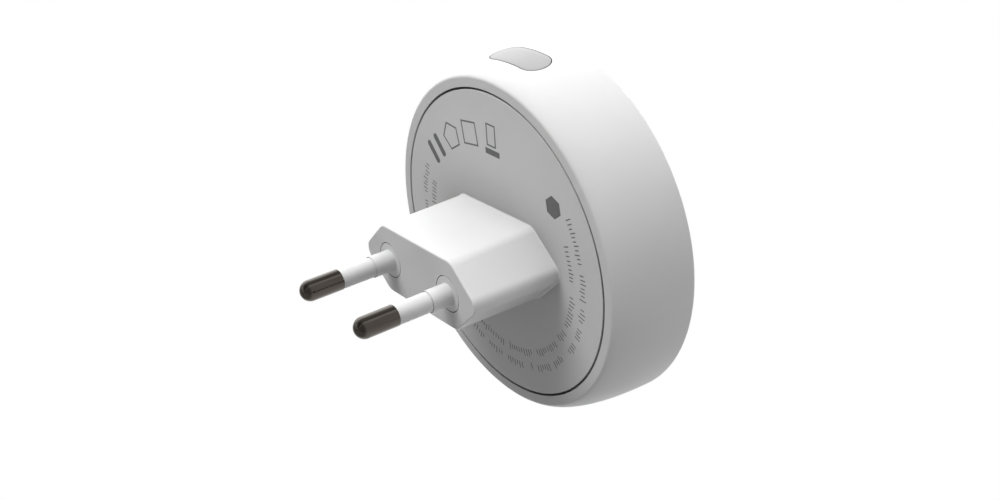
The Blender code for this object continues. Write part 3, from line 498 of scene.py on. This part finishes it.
def front_diffuser():
    """The milky lens: a shallow dish with a rounded brim and the skirt that snaps into the housing."""
    skirt_inner, skirt_outer, skirt_depth = DIFFUSER_SKIRT
    rise = DISH_RIM_DEPTH - DISH_CENTRE_DEPTH
    soft, bead = 0.4 * MM, 0.45 * MM
    seat = FRONT_LEDGE[2] + HAIRLINE

    def dish(centre_depth, radius_end, steps):
        radii = [radius_end * step / steps for step in range(steps + 1)]
        return [(r, disc_y(centre_depth + rise * (r / DISH_RADIUS) ** 2), 0) for r in radii]

    edge = [
        (DIFFUSER_RADIUS, disc_y(DISH_RIM_DEPTH), soft),
        (DIFFUSER_RADIUS, disc_y(seat), 0.1 * MM),
        (skirt_outer, disc_y(seat), 0),
        (skirt_outer, disc_y(12.95 * MM), 0),
        (skirt_outer + bead, disc_y(12.6 * MM), 0.1 * MM),
        (skirt_outer + bead, disc_y(12.35 * MM), 0.1 * MM),
        (skirt_outer, disc_y(skirt_depth), 0.15 * MM),
        (skirt_inner, disc_y(skirt_depth), 0.15 * MM),
    ]
    front = dish(DISH_CENTRE_DEPTH, DISH_RADIUS, 20)
    back = dish(DISH_CENTRE_DEPTH - DIFFUSER_THICKNESS, skirt_inner, 20)
    return turned("front_diffuser_lens", rounded(front + edge + back[::-1], 6))


def pin(side_name, side):
    """The metal pin: a round-nosed contact, a thin core, a head and a tail."""
    head_y = BUSH_LOW.y - HAIRLINE
    soft = 0.06 * MM
    outline = [
        (0.0, PIN_LOW.y, 0),
        (PIN_TAIL_RADIUS, PIN_LOW.y, 0.2 * MM),
        (PIN_TAIL_RADIUS, head_y - PIN_HEAD_THICKNESS, 0),
        ((PIN_HIGH.x - PIN_LOW.x) / 2, head_y - PIN_HEAD_THICKNESS, 0.2 * MM),
        ((PIN_HIGH.x - PIN_LOW.x) / 2, head_y, 0.2 * MM),
        (PIN_CORE_RADIUS, head_y, 0),
        (PIN_CORE_RADIUS, SLEEVE_END_Y, 0),
        (PIN_RADIUS, SLEEVE_END_Y, soft),
    ]
    nose_steps = 20
    for step in range(nose_steps + 1):
        angle = math.pi / 2 * step / nose_steps
        radius = PIN_RADIUS * math.cos(angle) if step < nose_steps else 0.0
        outline.append((radius, PIN_HIGH.y - PIN_RADIUS * (1 - math.sin(angle)), 0))
    return turned(f"pin_contact_{side_name}", rounded(outline), PIN_SEGMENTS, side * PIN_X)


def pin_sleeve(side_name, side):
    bore = PIN_CORE_RADIUS + HAIRLINE / 2
    outline = [
        (bore, SLEEVE_LOW.y, 0),
        (SLEEVE_RADIUS, SLEEVE_LOW.y, 0),
        (SLEEVE_RADIUS, SLEEVE_HIGH.y, 0.05 * MM),
        (bore, SLEEVE_HIGH.y, 0),
    ]
    return turned(f"pin_sleeve_fine_{side_name}", rounded(outline), PIN_SEGMENTS, side * PIN_X)


def pin_bush(side_name, side):
    """The bush: a collar round the sleeve, a flange flush in the plug's end, and a tail behind it."""
    bore = SLEEVE_RADIUS + HAIRLINE / 2
    core_bore = PIN_CORE_RADIUS + HAIRLINE / 2
    step_y = SLEEVE_LOW.y - HAIRLINE
    outline = [
        (bore, step_y, 0),
        (bore, BUSH_HIGH.y - COLLAR_MOUTH[1], 0),
        (bore + COLLAR_MOUTH[0], BUSH_HIGH.y - COLLAR_MOUTH[1] / 2, 0),
        (bore + COLLAR_MOUTH[0], BUSH_HIGH.y, 0),
        (COLLAR_RADIUS, BUSH_HIGH.y, 0.03 * MM),
        (COLLAR_RADIUS, 0.0, 0.12 * MM),
        (BUSH_RADIUS, 0.0, 0.05 * MM),
        (BUSH_RADIUS, -BUSH_FLANGE_THICKNESS, 0.1 * MM),
        (BUSH_TAIL_RADIUS, -BUSH_FLANGE_THICKNESS, 0),
        (BUSH_TAIL_RADIUS, BUSH_LOW.y, 0.2 * MM),
        (core_bore, BUSH_LOW.y, 0),
        (core_bore, step_y, 0),
    ]
    return turned(f"pin_bush_fine_{side_name}", rounded(outline), PIN_SEGMENTS, side * PIN_X)


# ---------------------------------------------------------------- printed marks on the back plate

INK_LIFTS = (-0.01 * MM, 0.015 * MM)  # the ink's two faces, from the plate's surface
LINE_WIDTH = 0.3 * MM


def ink_slab(outer, inner=None):
    """Points and faces of one thin flat mark from (across, up) outlines, solid or open inside."""
    outlines = [outer, inner] if inner else [outer]
    points, loops = [], []
    for outline in outlines:
        for lift in INK_LIFTS:
            loops.append(range(len(points), len(points) + len(outline)))
            points += [(-across, PLATE_Y + lift, up) for across, up in outline]
    count = len(outer)
    faces = []
    for low, high in [loops[:2], loops[2:]] if inner else [loops]:
        faces += [(low[i - 1], low[i], high[i], high[i - 1]) for i in range(count)]
    if not inner:
        return points, faces + [tuple(loops[0]), tuple(loops[1])]
    for outside, inside in (loops[0::2], loops[1::2]):
        faces += [(outside[i - 1], outside[i], inside[i], inside[i - 1]) for i in range(count)]
    return points, faces


def placed(outline, across, up, degrees):
    turn = Matrix.Rotation(math.radians(degrees), 2)
    return [tuple(turn @ Vector(point) + Vector((across, up))) for point in outline]


def regular(count, radius):
    """The corners of a regular polygon about the origin."""
    spokes = [2 * math.pi * k / count for k in range(count)]
    return [(radius * math.cos(angle), radius * math.sin(angle)) for angle in spokes]


def oblong(width, height, corner=0.0):
    """A rectangle about the origin, with round corners if asked."""
    signs = ((1, 1), (-1, 1), (-1, -1), (1, -1))
    return rounded([(sx * width / 2, sy * height / 2, corner) for sx, sy in signs], 6)


def symbols():
    """Plain shapes in an arc over the plug body, solid or drawn in thin lines."""
    bar, bar_pitch = oblong(1.3 * MM, 5.0 * MM, 0.6 * MM), 3.1 * MM
    marks = []
    for side in (-0.5, 0.5):
        across, up = placed([(side * bar_pitch, 0.0)], -18.4 * MM, 14.6 * MM, 40)[0]
        marks.append((placed(bar, across, up, 40), None))
    pentagon_radius, square_radius = 2.9 * MM, 3.3 * MM
    for count, radius, across, up, degrees in (
        (5, pentagon_radius, -12.7 * MM, 18.6 * MM, 48),
        (4, square_radius, -6.4 * MM, 20.8 * MM, 52),
    ):
        corner_share = math.cos(math.pi / count)
        outer, inner = regular(count, radius), regular(count, radius - LINE_WIDTH / corner_share)
        marks.append((placed(outer, across, up, degrees), placed(inner, across, up, degrees)))
    tall = (2.8 * MM, 4.4 * MM)
    frame_outline = [oblong(tall[0] - trim, tall[1] - trim) for trim in (0.0, 2 * LINE_WIDTH)]
    marks.append([placed(outline, 0.5 * MM, 22.0 * MM, -2) for outline in frame_outline])
    marks.append((placed(oblong(4.3 * MM, 1.15 * MM), 0.6 * MM, 18.7 * MM, -2), None))
    marks.append((placed(regular(6, 2.2 * MM), 17.7 * MM, 13.1 * MM, 36), None))
    return [ink_slab(outer, inner) for outer, inner in marks]


def tick_row(middle, first, last, draws):
    """Fine upright ticks in groups, clockwise on an arc about the plate's centre, with no letters."""
    pitch, tick_width, gap = 0.8 * MM, 0.2 * MM, 1.4 * MM
    baseline = middle - 0.65 * MM
    marks, angle = [], math.radians(first)
    while angle > math.radians(last):
        for _ in range(draws.randint(4, 11)):
            height = draws.choice((0.95, 0.95, 1.0, 1.3, 1.45)) * MM
            foot = baseline - (0.4 * MM if draws.random() < 0.1 else 0.0)
            centre = (foot + baseline + height) / 2
            tick = oblong(tick_width, baseline + height - foot)
            across, up = centre * math.cos(angle), centre * math.sin(angle)
            marks.append(ink_slab(placed(tick, across, up, math.degrees(angle) - 90)))
            angle -= pitch / middle * draws.uniform(0.86, 1.14)
            if angle < math.radians(last):
                break
        angle -= gap / middle
    return marks


def back_marks():
    """The print on the back plate. Plain shapes and tick rows stand where the real one has words."""
    outer_row, inner_row = 24.75 * MM, 21.65 * MM
    rows = (
        (outer_row, 29.0, -38.5),
        (outer_row, -46.0, -74.0),
        (outer_row, -80.0, -207.0),
        (inner_row, 17.5, -3.0),
        (inner_row, -9.0, -199.0),
    )
    draws = random.Random(11)
    marks = symbols()
    for middle, first, last in rows:
        marks += tick_row(middle, first, last, draws)
    points, faces = [], []
    for mark_points, mark_faces in marks:
        faces += [[len(points) + i for i in face] for face in mark_faces]
        points += mark_points
    return add_object("back_marks", points, faces)


# ---------------------------------------------------------------- materials


def set_input(tree, node, key, value):
    """Links a node's input to another node's output, or gives it a plain value."""
    socket = node.inputs[key]
    if isinstance(value, bpy.types.NodeSocket):
        tree.links.new(value, socket)
    elif socket.type == "RGBA" and len(value) == 3:
        socket.default_value = (*value, 1.0)
    else:
        socket.default_value = value


def add_node(tree, kind, inputs, **settings):
    made = tree.nodes.new(kind)
    for key, value in settings.items():
        setattr(made, key, value)
    for key, value in inputs.items():
        set_input(tree, made, key, value)
    return made


class Look:
    """One procedural material. Its coordinates are the object's own, in millimetres."""

    def __init__(self, name, colour, roughness, metallic=0.0, **inputs):
        self.material = bpy.data.materials.new(name)
        self.material.use_nodes = True
        self.tree = self.material.node_tree
        self.shader = self.tree.nodes["Principled BSDF"]
        self.places = self.node("ShaderNodeTexCoord", {})
        scaled = {0: self.places.outputs["Object"], "Scale": 1 / MM}
        self.mm = self.node("ShaderNodeVectorMath", scaled, operation="SCALE").outputs[0]
        self.finish(colour=colour, roughness=roughness)
        self.put("Metallic", metallic)
        for key, value in inputs.items():
            self.put(key.replace("_", " "), value)

    def node(self, kind, inputs, **settings):
        return add_node(self.tree, kind, inputs, **settings)

    def put(self, key, value):
        set_input(self.tree, self.shader, key, value)

    def finish(self, colour=None, roughness=None, normal=None):
        for key, value in (("Base Color", colour), ("Roughness", roughness), ("Normal", normal)):
            if value is not None:
                self.put(key, value)
        return self

    def noise(self, size, detail=2.0, stretch=(1.0, 1.0, 1.0)):
        """Soft noise of this grain size in millimetres, 0 to 1."""
        spread = {0: self.mm, 1: stretch}
        place = self.node("ShaderNodeVectorMath", spread, operation="MULTIPLY").outputs[0]
        inputs = {"Vector": place, "Scale": 1 / size, "Detail": detail}
        return self.node("ShaderNodeTexNoise", inputs).outputs[0]

    def cells(self, size, feature="F1"):
        inputs = {"Vector": self.mm, "Scale": 1 / size}
        return self.node("ShaderNodeTexVoronoi", inputs, feature=feature).outputs[0]

    def fit(self, value, low, high, to_low=0.0, to_high=1.0):
        """Maps a value from one range to another, and holds it inside."""
        inputs = {"Value": value, "From Min": low, "From Max": high}
        inputs.update({"To Min": to_low, "To Max": to_high})
        return self.node("ShaderNodeMapRange", inputs).outputs[0]

    def mix(self, share, first, second):
        inputs = {0: share, 6: first, 7: second}
        return self.node("ShaderNodeMix", inputs, data_type="RGBA").outputs[2]

    def sum(self, operation, first, second=0.0):
        return self.node("ShaderNodeMath", {0: first, 1: second}, operation=operation).outputs[0]

    def along(self, axis, source="Generated"):
        """How far along an axis: 0 to 1 across the piece, or millimetres if the source is mm."""
        vector = self.mm if source == "mm" else self.places.outputs[source]
        return self.node("ShaderNodeSeparateXYZ", {0: vector}).outputs[axis]

    def from_middle(self, axis):
        """0 at the piece's middle along an axis and 1 at its ends."""
        return self.sum("ABSOLUTE", self.fit(self.along(axis), 0.0, 1.0, -1.0, 1.0))

    def edges(self, low=0.51, high=0.6):
        """1 on outward edges, 0 elsewhere."""
        geometry = self.node("ShaderNodeNewGeometry", {})
        return self.fit(geometry.outputs["Pointiness"], low, high)

    def occlusion_shade(self, reach_mm, shut, clear):
        """1 where nearby shapes shut out the open air, as deep in a narrow gap, and 0 in the open; a
        mask for painting shade into a colour.
        """
        inputs = {"Distance": reach_mm * MM}
        daylight = self.node("ShaderNodeAmbientOcclusion", inputs, samples=8).outputs["AO"]
        return self.fit(daylight, shut, clear, 1.0, 0.0)

    def facing_back(self):
        """1 on faces that look out of the back, 0 elsewhere."""
        normal = self.node("ShaderNodeNewGeometry", {}).outputs["Normal"]
        parts = self.node("ShaderNodeSeparateXYZ", {0: normal})
        return self.fit(parts.outputs[1], 0.8, 0.98)

    def bump(self, height, depth_mm, below=None):
        """A shading normal from a height of 0 to 1, that deep in millimetres."""
        inputs = {"Height": height, "Distance": depth_mm * MM}
        if below is not None:
            inputs["Normal"] = below
        return self.node("ShaderNodeBump", inputs).outputs[0]

    def soft_edge(self, radius_mm):
        """A normal that rounds hard edges by this radius."""
        return self.node("ShaderNodeBevel", {"Radius": radius_mm * MM}, samples=4).outputs[0]


def grey(level):
    return (level, level, level)


def moulded_plastic(name, level, roughness, grain_mm, grain_depth_mm):
    """White moulded plastic: an even spark-eroded grain, cloudy gloss, polished edges, painted shade
    in seams and gaps, and a painted soft shadow on the back plate round the plug body's foot."""
    look = Look(name, grey(level), roughness, Specular_IOR_Level=0.125)
    cloud = look.noise(9.0, 3.0)
    speck = look.noise(0.35, 1.0)
    worn = look.edges()
    body = look.mix(look.fit(cloud, 0.3, 0.7), grey(level * 0.985), grey(level * 1.01))
    body = look.mix(look.fit(speck, 0.72, 0.8, 0.0, 0.05), body, grey(level * 0.8))
    body = look.mix(look.sum("MULTIPLY", worn, 0.35), body, grey(min(level * 1.06, 0.95)))
    # Painted shade: the colour darkens where nearby shapes shut out the open air, in seams and gaps.
    body = look.mix(look.occlusion_shade(1.5, 0.15, 0.52), body, grey(level * 0.48))
    # Painted shade: the back plate darkens where the plug body shuts out the open air round its foot.
    behind_plug = look.fit(look.along(1, "mm"), -15, -10, 1, 0)
    on_plate = look.sum("MULTIPLY", behind_plug, look.facing_back())
    painted_plug_shade = look.sum("MULTIPLY", look.occlusion_shade(18.0, 0.5, 0.95), on_plate)
    body = look.mix(painted_plug_shade, body, grey(level * 0.6))
    gloss = look.fit(cloud, 0.3, 0.7, roughness - 0.03, roughness + 0.04)
    gloss = look.sum("SUBTRACT", gloss, look.sum("MULTIPLY", worn, 0.1))
    grain = look.bump(look.noise(grain_mm, 2.0), grain_depth_mm)
    waves = look.bump(look.noise(14.0, 1.0), 0.02, grain)
    return look.finish(colour=body, roughness=gloss, normal=waves).material


def pin_metal():
    """Dark nickel plating with fine turning marks round the pin and a few lengthwise scuffs."""
    look = Look("pin metal", (0.069, 0.061, 0.053), 0.1, 1.0)
    rings = look.noise(0.09, 3.0, (0.05, 1.0, 0.05))
    scuffs = look.noise(0.25, 3.0, (1.0, 0.06, 1.0))
    worn = look.edges(0.52, 0.62)
    body = look.mix(look.fit(scuffs, 0.45, 0.75), (0.066, 0.058, 0.05), (0.082, 0.074, 0.066))
    body = look.mix(look.sum("MULTIPLY", worn, 0.3), body, (0.2, 0.19, 0.18))
    gloss = look.fit(rings, 0.3, 0.7, 0.08, 0.14)
    normal = look.bump(rings, 0.0008)
    normal = look.bump(scuffs, 0.0006, normal)
    return look.finish(colour=body, roughness=gloss, normal=normal).material


def smoky_window():
    """The sensor window: grey see-through plastic with a smooth satin face over a dark inside."""
    look = Look("sensor window", grey(0.38), 0.35, Specular_IOR_Level=0.1)
    haze = look.noise(3.0, 2.0)
    body = look.mix(look.fit(haze, 0.3, 0.7), grey(0.375), grey(0.39))
    gloss = look.fit(haze, 0.3, 0.7, 0.33, 0.38)
    return look.finish(colour=body, roughness=gloss, normal=look.bump(haze, 0.004)).material


def milky_diffuser():
    """The front lens: thick white plastic that lets light glow through, with a fine matt grain."""
    look = Look(
        "diffuser",
        (0.9, 0.89, 0.86),
        0.42,
        Subsurface_Weight=0.6,
        Subsurface_Scale=2.5 * MM,
        Subsurface_Radius=(1.0, 0.95, 0.8),
    )
    cloud = look.noise(12.0, 2.0)
    body = look.mix(look.fit(cloud, 0.3, 0.7), (0.9, 0.89, 0.86), (0.93, 0.92, 0.9))
    grain = look.bump(look.noise(0.18, 2.0), 0.004)
    gloss = look.fit(cloud, 0.3, 0.7, 0.4, 0.46)
    return look.finish(colour=body, roughness=gloss, normal=grain).material


def ink():
    """Grey pad-printed ink with a slightly patchy cover."""
    look = Look("ink", grey(0.12), 0.5)
    patches = look.noise(0.3, 2.0)
    body = look.mix(look.fit(patches, 0.35, 0.7), grey(0.105), grey(0.15))
    return look.finish(colour=body, roughness=look.fit(patches, 0.3, 0.7, 0.42, 0.6)).material


def circuit_board():
    """Green lacquer over copper tracks, with paler tracks and bare pads."""
    look = Look("board", (0.03, 0.2, 0.08), 0.35)
    tracks = look.fit(look.cells(3.4, "DISTANCE_TO_EDGE"), 0.07, 0.1, 1.0, 0.0)
    pads = look.fit(look.cells(3.4), 0.1, 0.13, 1.0, 0.0)
    weave = look.noise(0.5, 2.0)
    body = look.mix(look.fit(weave, 0.3, 0.7), (0.022, 0.17, 0.065), (0.03, 0.2, 0.08))
    body = look.mix(tracks, body, (0.06, 0.3, 0.13))
    body = look.mix(pads, body, (0.6, 0.58, 0.52))
    look.put("Metallic", pads)
    normal = look.bump(tracks, 0.03, look.soft_edge(0.1))
    return look.finish(colour=body, roughness=look.fit(pads, 0, 1, 0.35, 0.25), normal=normal).material


def banded(name, body_colour, end_colour, axis, end_share, roughness):
    """A small part with caps or solder ends: the body's colour changes near both ends."""
    look = Look(name, body_colour, roughness)
    ends = look.fit(look.from_middle(axis), 1 - end_share - 0.02, 1 - end_share + 0.02)
    cloud = look.noise(0.6, 2.0)
    dark = tuple(0.85 * channel for channel in body_colour)
    body = look.mix(ends, look.mix(look.fit(cloud, 0.3, 0.7), dark, body_colour), end_colour)
    look.put("Metallic", ends)
    normal = look.bump(cloud, 0.01, look.soft_edge(0.08))
    gloss = look.fit(cloud, 0.3, 0.7, roughness - 0.05, roughness + 0.07)
    return look.finish(colour=body, roughness=gloss, normal=normal).material


def brushed_metal(name, colour, roughness, streak):
    """Bare metal with fine streaks along one way and soft, slightly bright edges."""
    look = Look(name, colour, roughness, 1.0)
    streaks = look.noise(0.12, 3.0, streak)
    dark = tuple(0.75 * channel for channel in colour)
    body = look.mix(look.fit(streaks, 0.3, 0.7), dark, colour)
    gloss = look.fit(streaks, 0.3, 0.7, roughness - 0.06, roughness + 0.1)
    normal = look.bump(streaks, 0.004, look.soft_edge(0.06))
    return look.finish(colour=body, roughness=gloss, normal=normal).material


def coated_part(name, colour, roughness, dimple_mm, dimple_depth_mm, **inputs):
    """A dipped, painted or moulded inner part, with a slightly uneven coat and soft edges."""
    look = Look(name, colour, roughness, **inputs)
    cloud = look.noise(dimple_mm, 2.0)
    dark = tuple(0.88 * channel for channel in colour)
    body = look.mix(look.fit(cloud, 0.3, 0.7), dark, colour)
    gloss = look.fit(cloud, 0.3, 0.7, roughness - 0.04, roughness + 0.06)
    normal = look.bump(cloud, dimple_depth_mm, look.soft_edge(0.12))
    return look.finish(colour=body, roughness=gloss, normal=normal).material


def capacitor_can():
    """A shrink-sleeved can with a pale stripe down one side and a bare aluminium end."""
    look = Look("capacitor can", (0.05, 0.07, 0.15), 0.32)
    stripe = look.fit(look.along(2), 0.16, 0.18, 1.0, 0.0)
    bare = look.fit(look.from_middle(0), 0.93, 0.95)
    cloud = look.noise(1.5, 2.0)
    body = look.mix(look.fit(cloud, 0.3, 0.7), (0.04, 0.055, 0.12), (0.05, 0.07, 0.15))
    body = look.mix(bare, look.mix(stripe, body, grey(0.6)), grey(0.75))
    look.put("Metallic", bare)
    normal = look.bump(cloud, 0.02, look.soft_edge(0.2))
    return look.finish(colour=body, roughness=look.fit(cloud, 0, 1, 0.27, 0.36), normal=normal).material


def lamp_led():
    """A white package with a round well of yellow phosphor."""
    look = Look("led", grey(0.85), 0.35)
    across, up = look.from_middle(0), look.from_middle(2)
    squares = look.sum("ADD", look.sum("POWER", across, 2.0), look.sum("POWER", up, 2.0))
    radius = look.sum("POWER", squares, 0.5)
    well = look.fit(radius, 0.62, 0.66, 1.0, 0.0)
    grains = look.noise(0.15, 2.0)
    phosphor = look.mix(look.fit(grains, 0.3, 0.7), (0.85, 0.62, 0.1), (0.95, 0.75, 0.2))
    body = look.mix(well, grey(0.85), phosphor)
    normal = look.bump(look.fit(radius, 0.55, 0.7), 0.15, look.soft_edge(0.08))
    return look.finish(colour=body, roughness=look.fit(well, 0, 1, 0.3, 0.55), normal=normal).material


def colour_code():
    """The resistor's body with a few painted rings round it."""
    look = Look("resistor body", (0.2, 0.42, 0.5), 0.45)
    place = look.along(0)
    body = look.mix(look.fit(look.noise(0.8), 0.3, 0.7), (0.17, 0.37, 0.45), (0.2, 0.42, 0.5))
    rings = ((0.3, (0.25, 0.1, 0.03)), (0.42, (0.02, 0.02, 0.02)), (0.54, (0.4, 0.03, 0.02)))
    for centre, colour in rings + ((0.7, (0.6, 0.42, 0.1)),):
        offset = look.sum("ABSOLUTE", look.sum("SUBTRACT", place, centre))
        body = look.mix(look.fit(offset, 0.025, 0.03, 1.0, 0.0), body, colour)
    normal = look.bump(look.noise(0.5), 0.02, look.soft_edge(0.15))
    return look.finish(colour=body, normal=normal).material


def piece_materials():
    """The materials of the pieces that are built here."""
    return {
        "white": moulded_plastic("white plastic", 0.72, 0.42, 0.16, 0.0035),
        "insulation": moulded_plastic("pin insulation", 0.72, 0.36, 0.1, 0.002),
        "pin": pin_metal(),
        "window": smoky_window(),
        "diffuser": milky_diffuser(),
        "ink": ink(),
    }


def node_materials(white):
    """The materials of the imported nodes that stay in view, by the start of the node's name."""
    steel = brushed_metal("screw steel", (0.55, 0.55, 0.57), 0.28, (1.0, 0.08, 1.0))
    clear = coated_part("clear plastic", (0.9, 0.93, 0.95), 0.1, 2.0, 0.01, Transmission_Weight=0.85)
    chip = banded("chip resistor", grey(0.03), grey(0.7), 0, 0.28, 0.4)
    return {
        "board_screw": steel,
        "clamp_screw": steel,
        "pin_clamp_bar": white,
        "contact_spring": brushed_metal("spring bronze", (0.7, 0.46, 0.2), 0.3, (0.1, 1.0, 1.0)),
        "sensor_light_pipe": clear,
        "phototransistor": clear,
        "sensor_light_shield": coated_part("black plastic", grey(0.03), 0.5, 0.4, 0.02),
        "reflector_tray": coated_part("reflector", grey(0.88), 0.28, 1.2, 0.01),
        "main_board": circuit_board(),
        "chip_resistor": chip,
        "led": lamp_led(),
        "driver_chip": banded("driver chip", grey(0.025), grey(0.6), 0, 0.2, 0.45),
        "bridge_rectifier": banded("rectifier", grey(0.03), grey(0.6), 0, 0.2, 0.45),
        "electrolytic_capacitor": capacitor_can(),
        "film_capacitor": coated_part("film box", (0.72, 0.55, 0.07), 0.4, 0.7, 0.03),
        "fusible_resistor": colour_code(),
        "varistor": coated_part("varistor coat", (0.06, 0.18, 0.5), 0.3, 1.4, 0.06, Coat_Weight=0.3),
    }


# ---------------------------------------------------------------- the object


def build_pieces():
    looks = piece_materials()
    white, insulation = looks["white"], looks["insulation"]
    finish_piece(even_shading(housing_shell()), white, "white_plastic", "housing_ring")
    finish_piece(even_shading(rear_cover()), white, "white_plastic", "rear_cover")
    finish_piece(even_shading(front_diffuser()), looks["diffuser"], "diffuser", "front_diffuser")
    finish_piece(even_shading(sensor_window()), looks["window"], "sensor_window", "sensor_window")
    for side_name, side in (("left", -1), ("right", 1)):
        metal = even_shading(pin(side_name, side))
        finish_piece(metal, looks["pin"], "pin_metal", f"pin_{side_name}")
        sleeve = even_shading(pin_sleeve(side_name, side))
        finish_piece(sleeve, insulation, "pin_insulation", f"pin_sleeve_{side_name}")
        bush = even_shading(pin_bush(side_name, side))
        finish_piece(bush, insulation, "pin_insulation", f"pin_bush_{side_name}")
    finish_piece(back_marks(), looks["ink"], "black_plastic")
    return looks


def dress_nodes(white):
    """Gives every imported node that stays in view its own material."""
    materials = node_materials(white)
    for name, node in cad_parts.items():
        if node.hide_render:
            continue
        kind = max((key for key in materials if name.startswith(key)), key=len)
        for slot in node.material_slots:
            slot.material = materials[kind]


# ---------------------------------------------------------------- floor, light and camera

FLOOR_Z = -250 * MM
FLOOR_RADIUS = 3.0
BACKGROUND = 1.0
CAMERA_AZIMUTH, CAMERA_ELEVATION, CAMERA_ROLL = 236.03, 25.62, -5.27
CAMERA_PLACE = Vector((-181.8, 104.2, 104.0)) * MM
CAMERA_LENS = 46.51
OBJECT_CENTRE = Vector((0.0, -20.0, 0.0)) * MM


def towards(azimuth, elevation):
    """The direction from the object to a viewer or a light. Azimuth 0 is in front of the light."""
    a, e = math.radians(azimuth), math.radians(elevation)
    return Vector((math.sin(a) * math.cos(e), -math.cos(a) * math.cos(e), math.sin(e)))


def seen_white(tree, unseen, output):
    """White to the camera, and the other shader for all other rays."""
    kind = "ShaderNodeBackground" if output.type == "OUTPUT_WORLD" else "ShaderNodeEmission"
    white = add_node(tree, kind, {"Color": grey(BACKGROUND)})
    path = add_node(tree, "ShaderNodeLightPath", {})
    shaders = {0: path.outputs["Is Camera Ray"], 1: unseen.outputs[0], 2: white.outputs[0]}
    mix = add_node(tree, "ShaderNodeMixShader", shaders)
    set_input(tree, output, "Surface", mix.outputs[0])


def pale_floor():
    points = [(x, y, FLOOR_Z) for x, y in regular(96, FLOOR_RADIUS)]
    floor = add_object("floor", points, [list(range(len(points)))])
    material = bpy.data.materials.new("pale floor")
    material.use_nodes = True
    tree = material.node_tree
    tree.nodes.clear()
    diffuse = add_node(tree, "ShaderNodeBsdfDiffuse", {"Color": grey(FLOOR_ALBEDO)})
    seen_white(tree, diffuse, add_node(tree, "ShaderNodeOutputMaterial", {}))
    floor.data.materials.append(material)
    floor.visible_glossy = False


def studio_world():
    """The room that shiny surfaces mirror: soft strips of light round a line along Y. It lights
    nothing else, as the soft lights do that, and the camera sees plain white."""
    world = bpy.data.worlds.new("studio")
    bpy.context.scene.world = world
    world.use_nodes = True
    world.cycles.sampling_method = "NONE"
    tree = world.node_tree
    tree.nodes.clear()
    place = add_node(tree, "ShaderNodeTexCoord", {})
    x, y, z = add_node(tree, "ShaderNodeSeparateXYZ", {0: place.outputs["Generated"]}).outputs
    angle = add_node(tree, "ShaderNodeMath", {0: z, 1: x}, operation="ARCTAN2")
    turn = {"Value": angle.outputs[0], "From Min": -math.pi, "From Max": math.pi}
    share = add_node(tree, "ShaderNodeMapRange", turn)
    strips = add_node(tree, "ShaderNodeValToRGB", {0: share.outputs[0]})
    ramp = strips.color_ramp
    for degrees, level in MIRRORED:
        stop = ramp.elements.new((degrees + 180) / 360)
        stop.color = (*grey(level / MIRRORED_BRIGHTEST), 1.0)
    for end in (ramp.elements[0], ramp.elements[-1]):
        end.color = (*grey(MIRRORED[0][1] / MIRRORED_BRIGHTEST), 1.0)
    fade = {"Value": y, "From Min": MIRRORED_FADE[0], "From Max": MIRRORED_FADE[1]}
    fade.update({"To Min": MIRRORED_BRIGHTEST, "To Max": MIRRORED_BRIGHTEST * MIRRORED_BEHIND})
    brightness = add_node(tree, "ShaderNodeMapRange", fade)
    path = add_node(tree, "ShaderNodeLightPath", {})
    seen = {0: brightness.outputs[0], 1: path.outputs["Is Glossy Ray"]}
    shiny_only = add_node(tree, "ShaderNodeMath", seen, operation="MULTIPLY")
    light = {"Color": strips.outputs[0], "Strength": shiny_only.outputs[0]}
    glow = add_node(tree, "ShaderNodeBackground", light)
    seen_white(tree, glow, add_node(tree, "ShaderNodeOutputWorld", {}))


def soft_light(name, azimuth, elevation, size, watts):
    """A square soft box that faces the object and isn't seen by the camera or mirrored."""
    data = bpy.data.lights.new(name, "AREA")
    data.size = size
    data.energy = watts
    lamp = bpy.data.objects.new(name, data)
    lamp.location = OBJECT_CENTRE + towards(azimuth, elevation) * LIGHT_DISTANCE
    lamp.rotation_mode = "QUATERNION"
    lamp.rotation_quaternion = towards(azimuth, elevation).to_track_quat("Z", "Y")
    lamp.visible_camera = False
    lamp.visible_glossy = False
    bpy.context.scene.collection.objects.link(lamp)


def studio_camera():
    data = bpy.data.cameras.new("camera")
    data.lens = CAMERA_LENS
    data.clip_start = 10 * MM
    camera = bpy.data.objects.new("camera", data)
    back = towards(CAMERA_AZIMUTH, CAMERA_ELEVATION)
    roll = Matrix.Rotation(math.radians(CAMERA_ROLL), 4, "Z")
    turn = back.to_track_quat("Z", "Y").to_matrix().to_4x4()
    camera.matrix_world = Matrix.Translation(CAMERA_PLACE) @ turn @ roll
    bpy.context.scene.collection.objects.link(camera)
    bpy.context.scene.camera = camera


FLOOR_ALBEDO = 0.15
MIRRORED = (  # degrees from +X over +Z, brightness
    (-170.0, 1.0),
    (-125.0, 1.5),
    (-70.0, 1.5),
    (-10.0, 1.2),
    (20.0, 2.6),
    (42.0, 2.6),
    (54.0, 1.0),
    (78.0, 0.5),
    (94.0, 0.6),
    (101.0, 1.6),
    (112.0, 1.6),
    (122.0, 1.0),
    (170.0, 1.0),
)
MIRRORED_BRIGHTEST = 3.0
MIRRORED_BEHIND = 0.4  # how bright the room is behind the plug, as a share of the rest
MIRRORED_FADE = (0.05, 0.5)  # how far towards +Y the room starts to dim, and is fully dim
LIGHT_DISTANCE = 0.6
LIGHTS = (  # name, azimuth, elevation, size, watts
    ("top light", 150, 75, 0.5, 2.6),
    ("main light", 165, 60, 0.3, 1.2),
    ("front top light", 0, 45, 0.5, 0.8),
    ("far top light", 60, 50, 0.5, 2.1),
    ("low back fill", 190, -25, 0.5, 1.5),
    ("low side fill", 280, 5, 0.5, 1.0),
    ("front side fill", 305, 25, 0.5, 0.6),
    ("front fill", 0, 5, 0.5, 0.8),
)


looks = build_pieces()
dress_nodes(looks["white"])
pale_floor()
studio_world()
for light in LIGHTS:
    soft_light(*light)
studio_camera()
bpy.context.scene.view_settings.view_transform = "Standard"
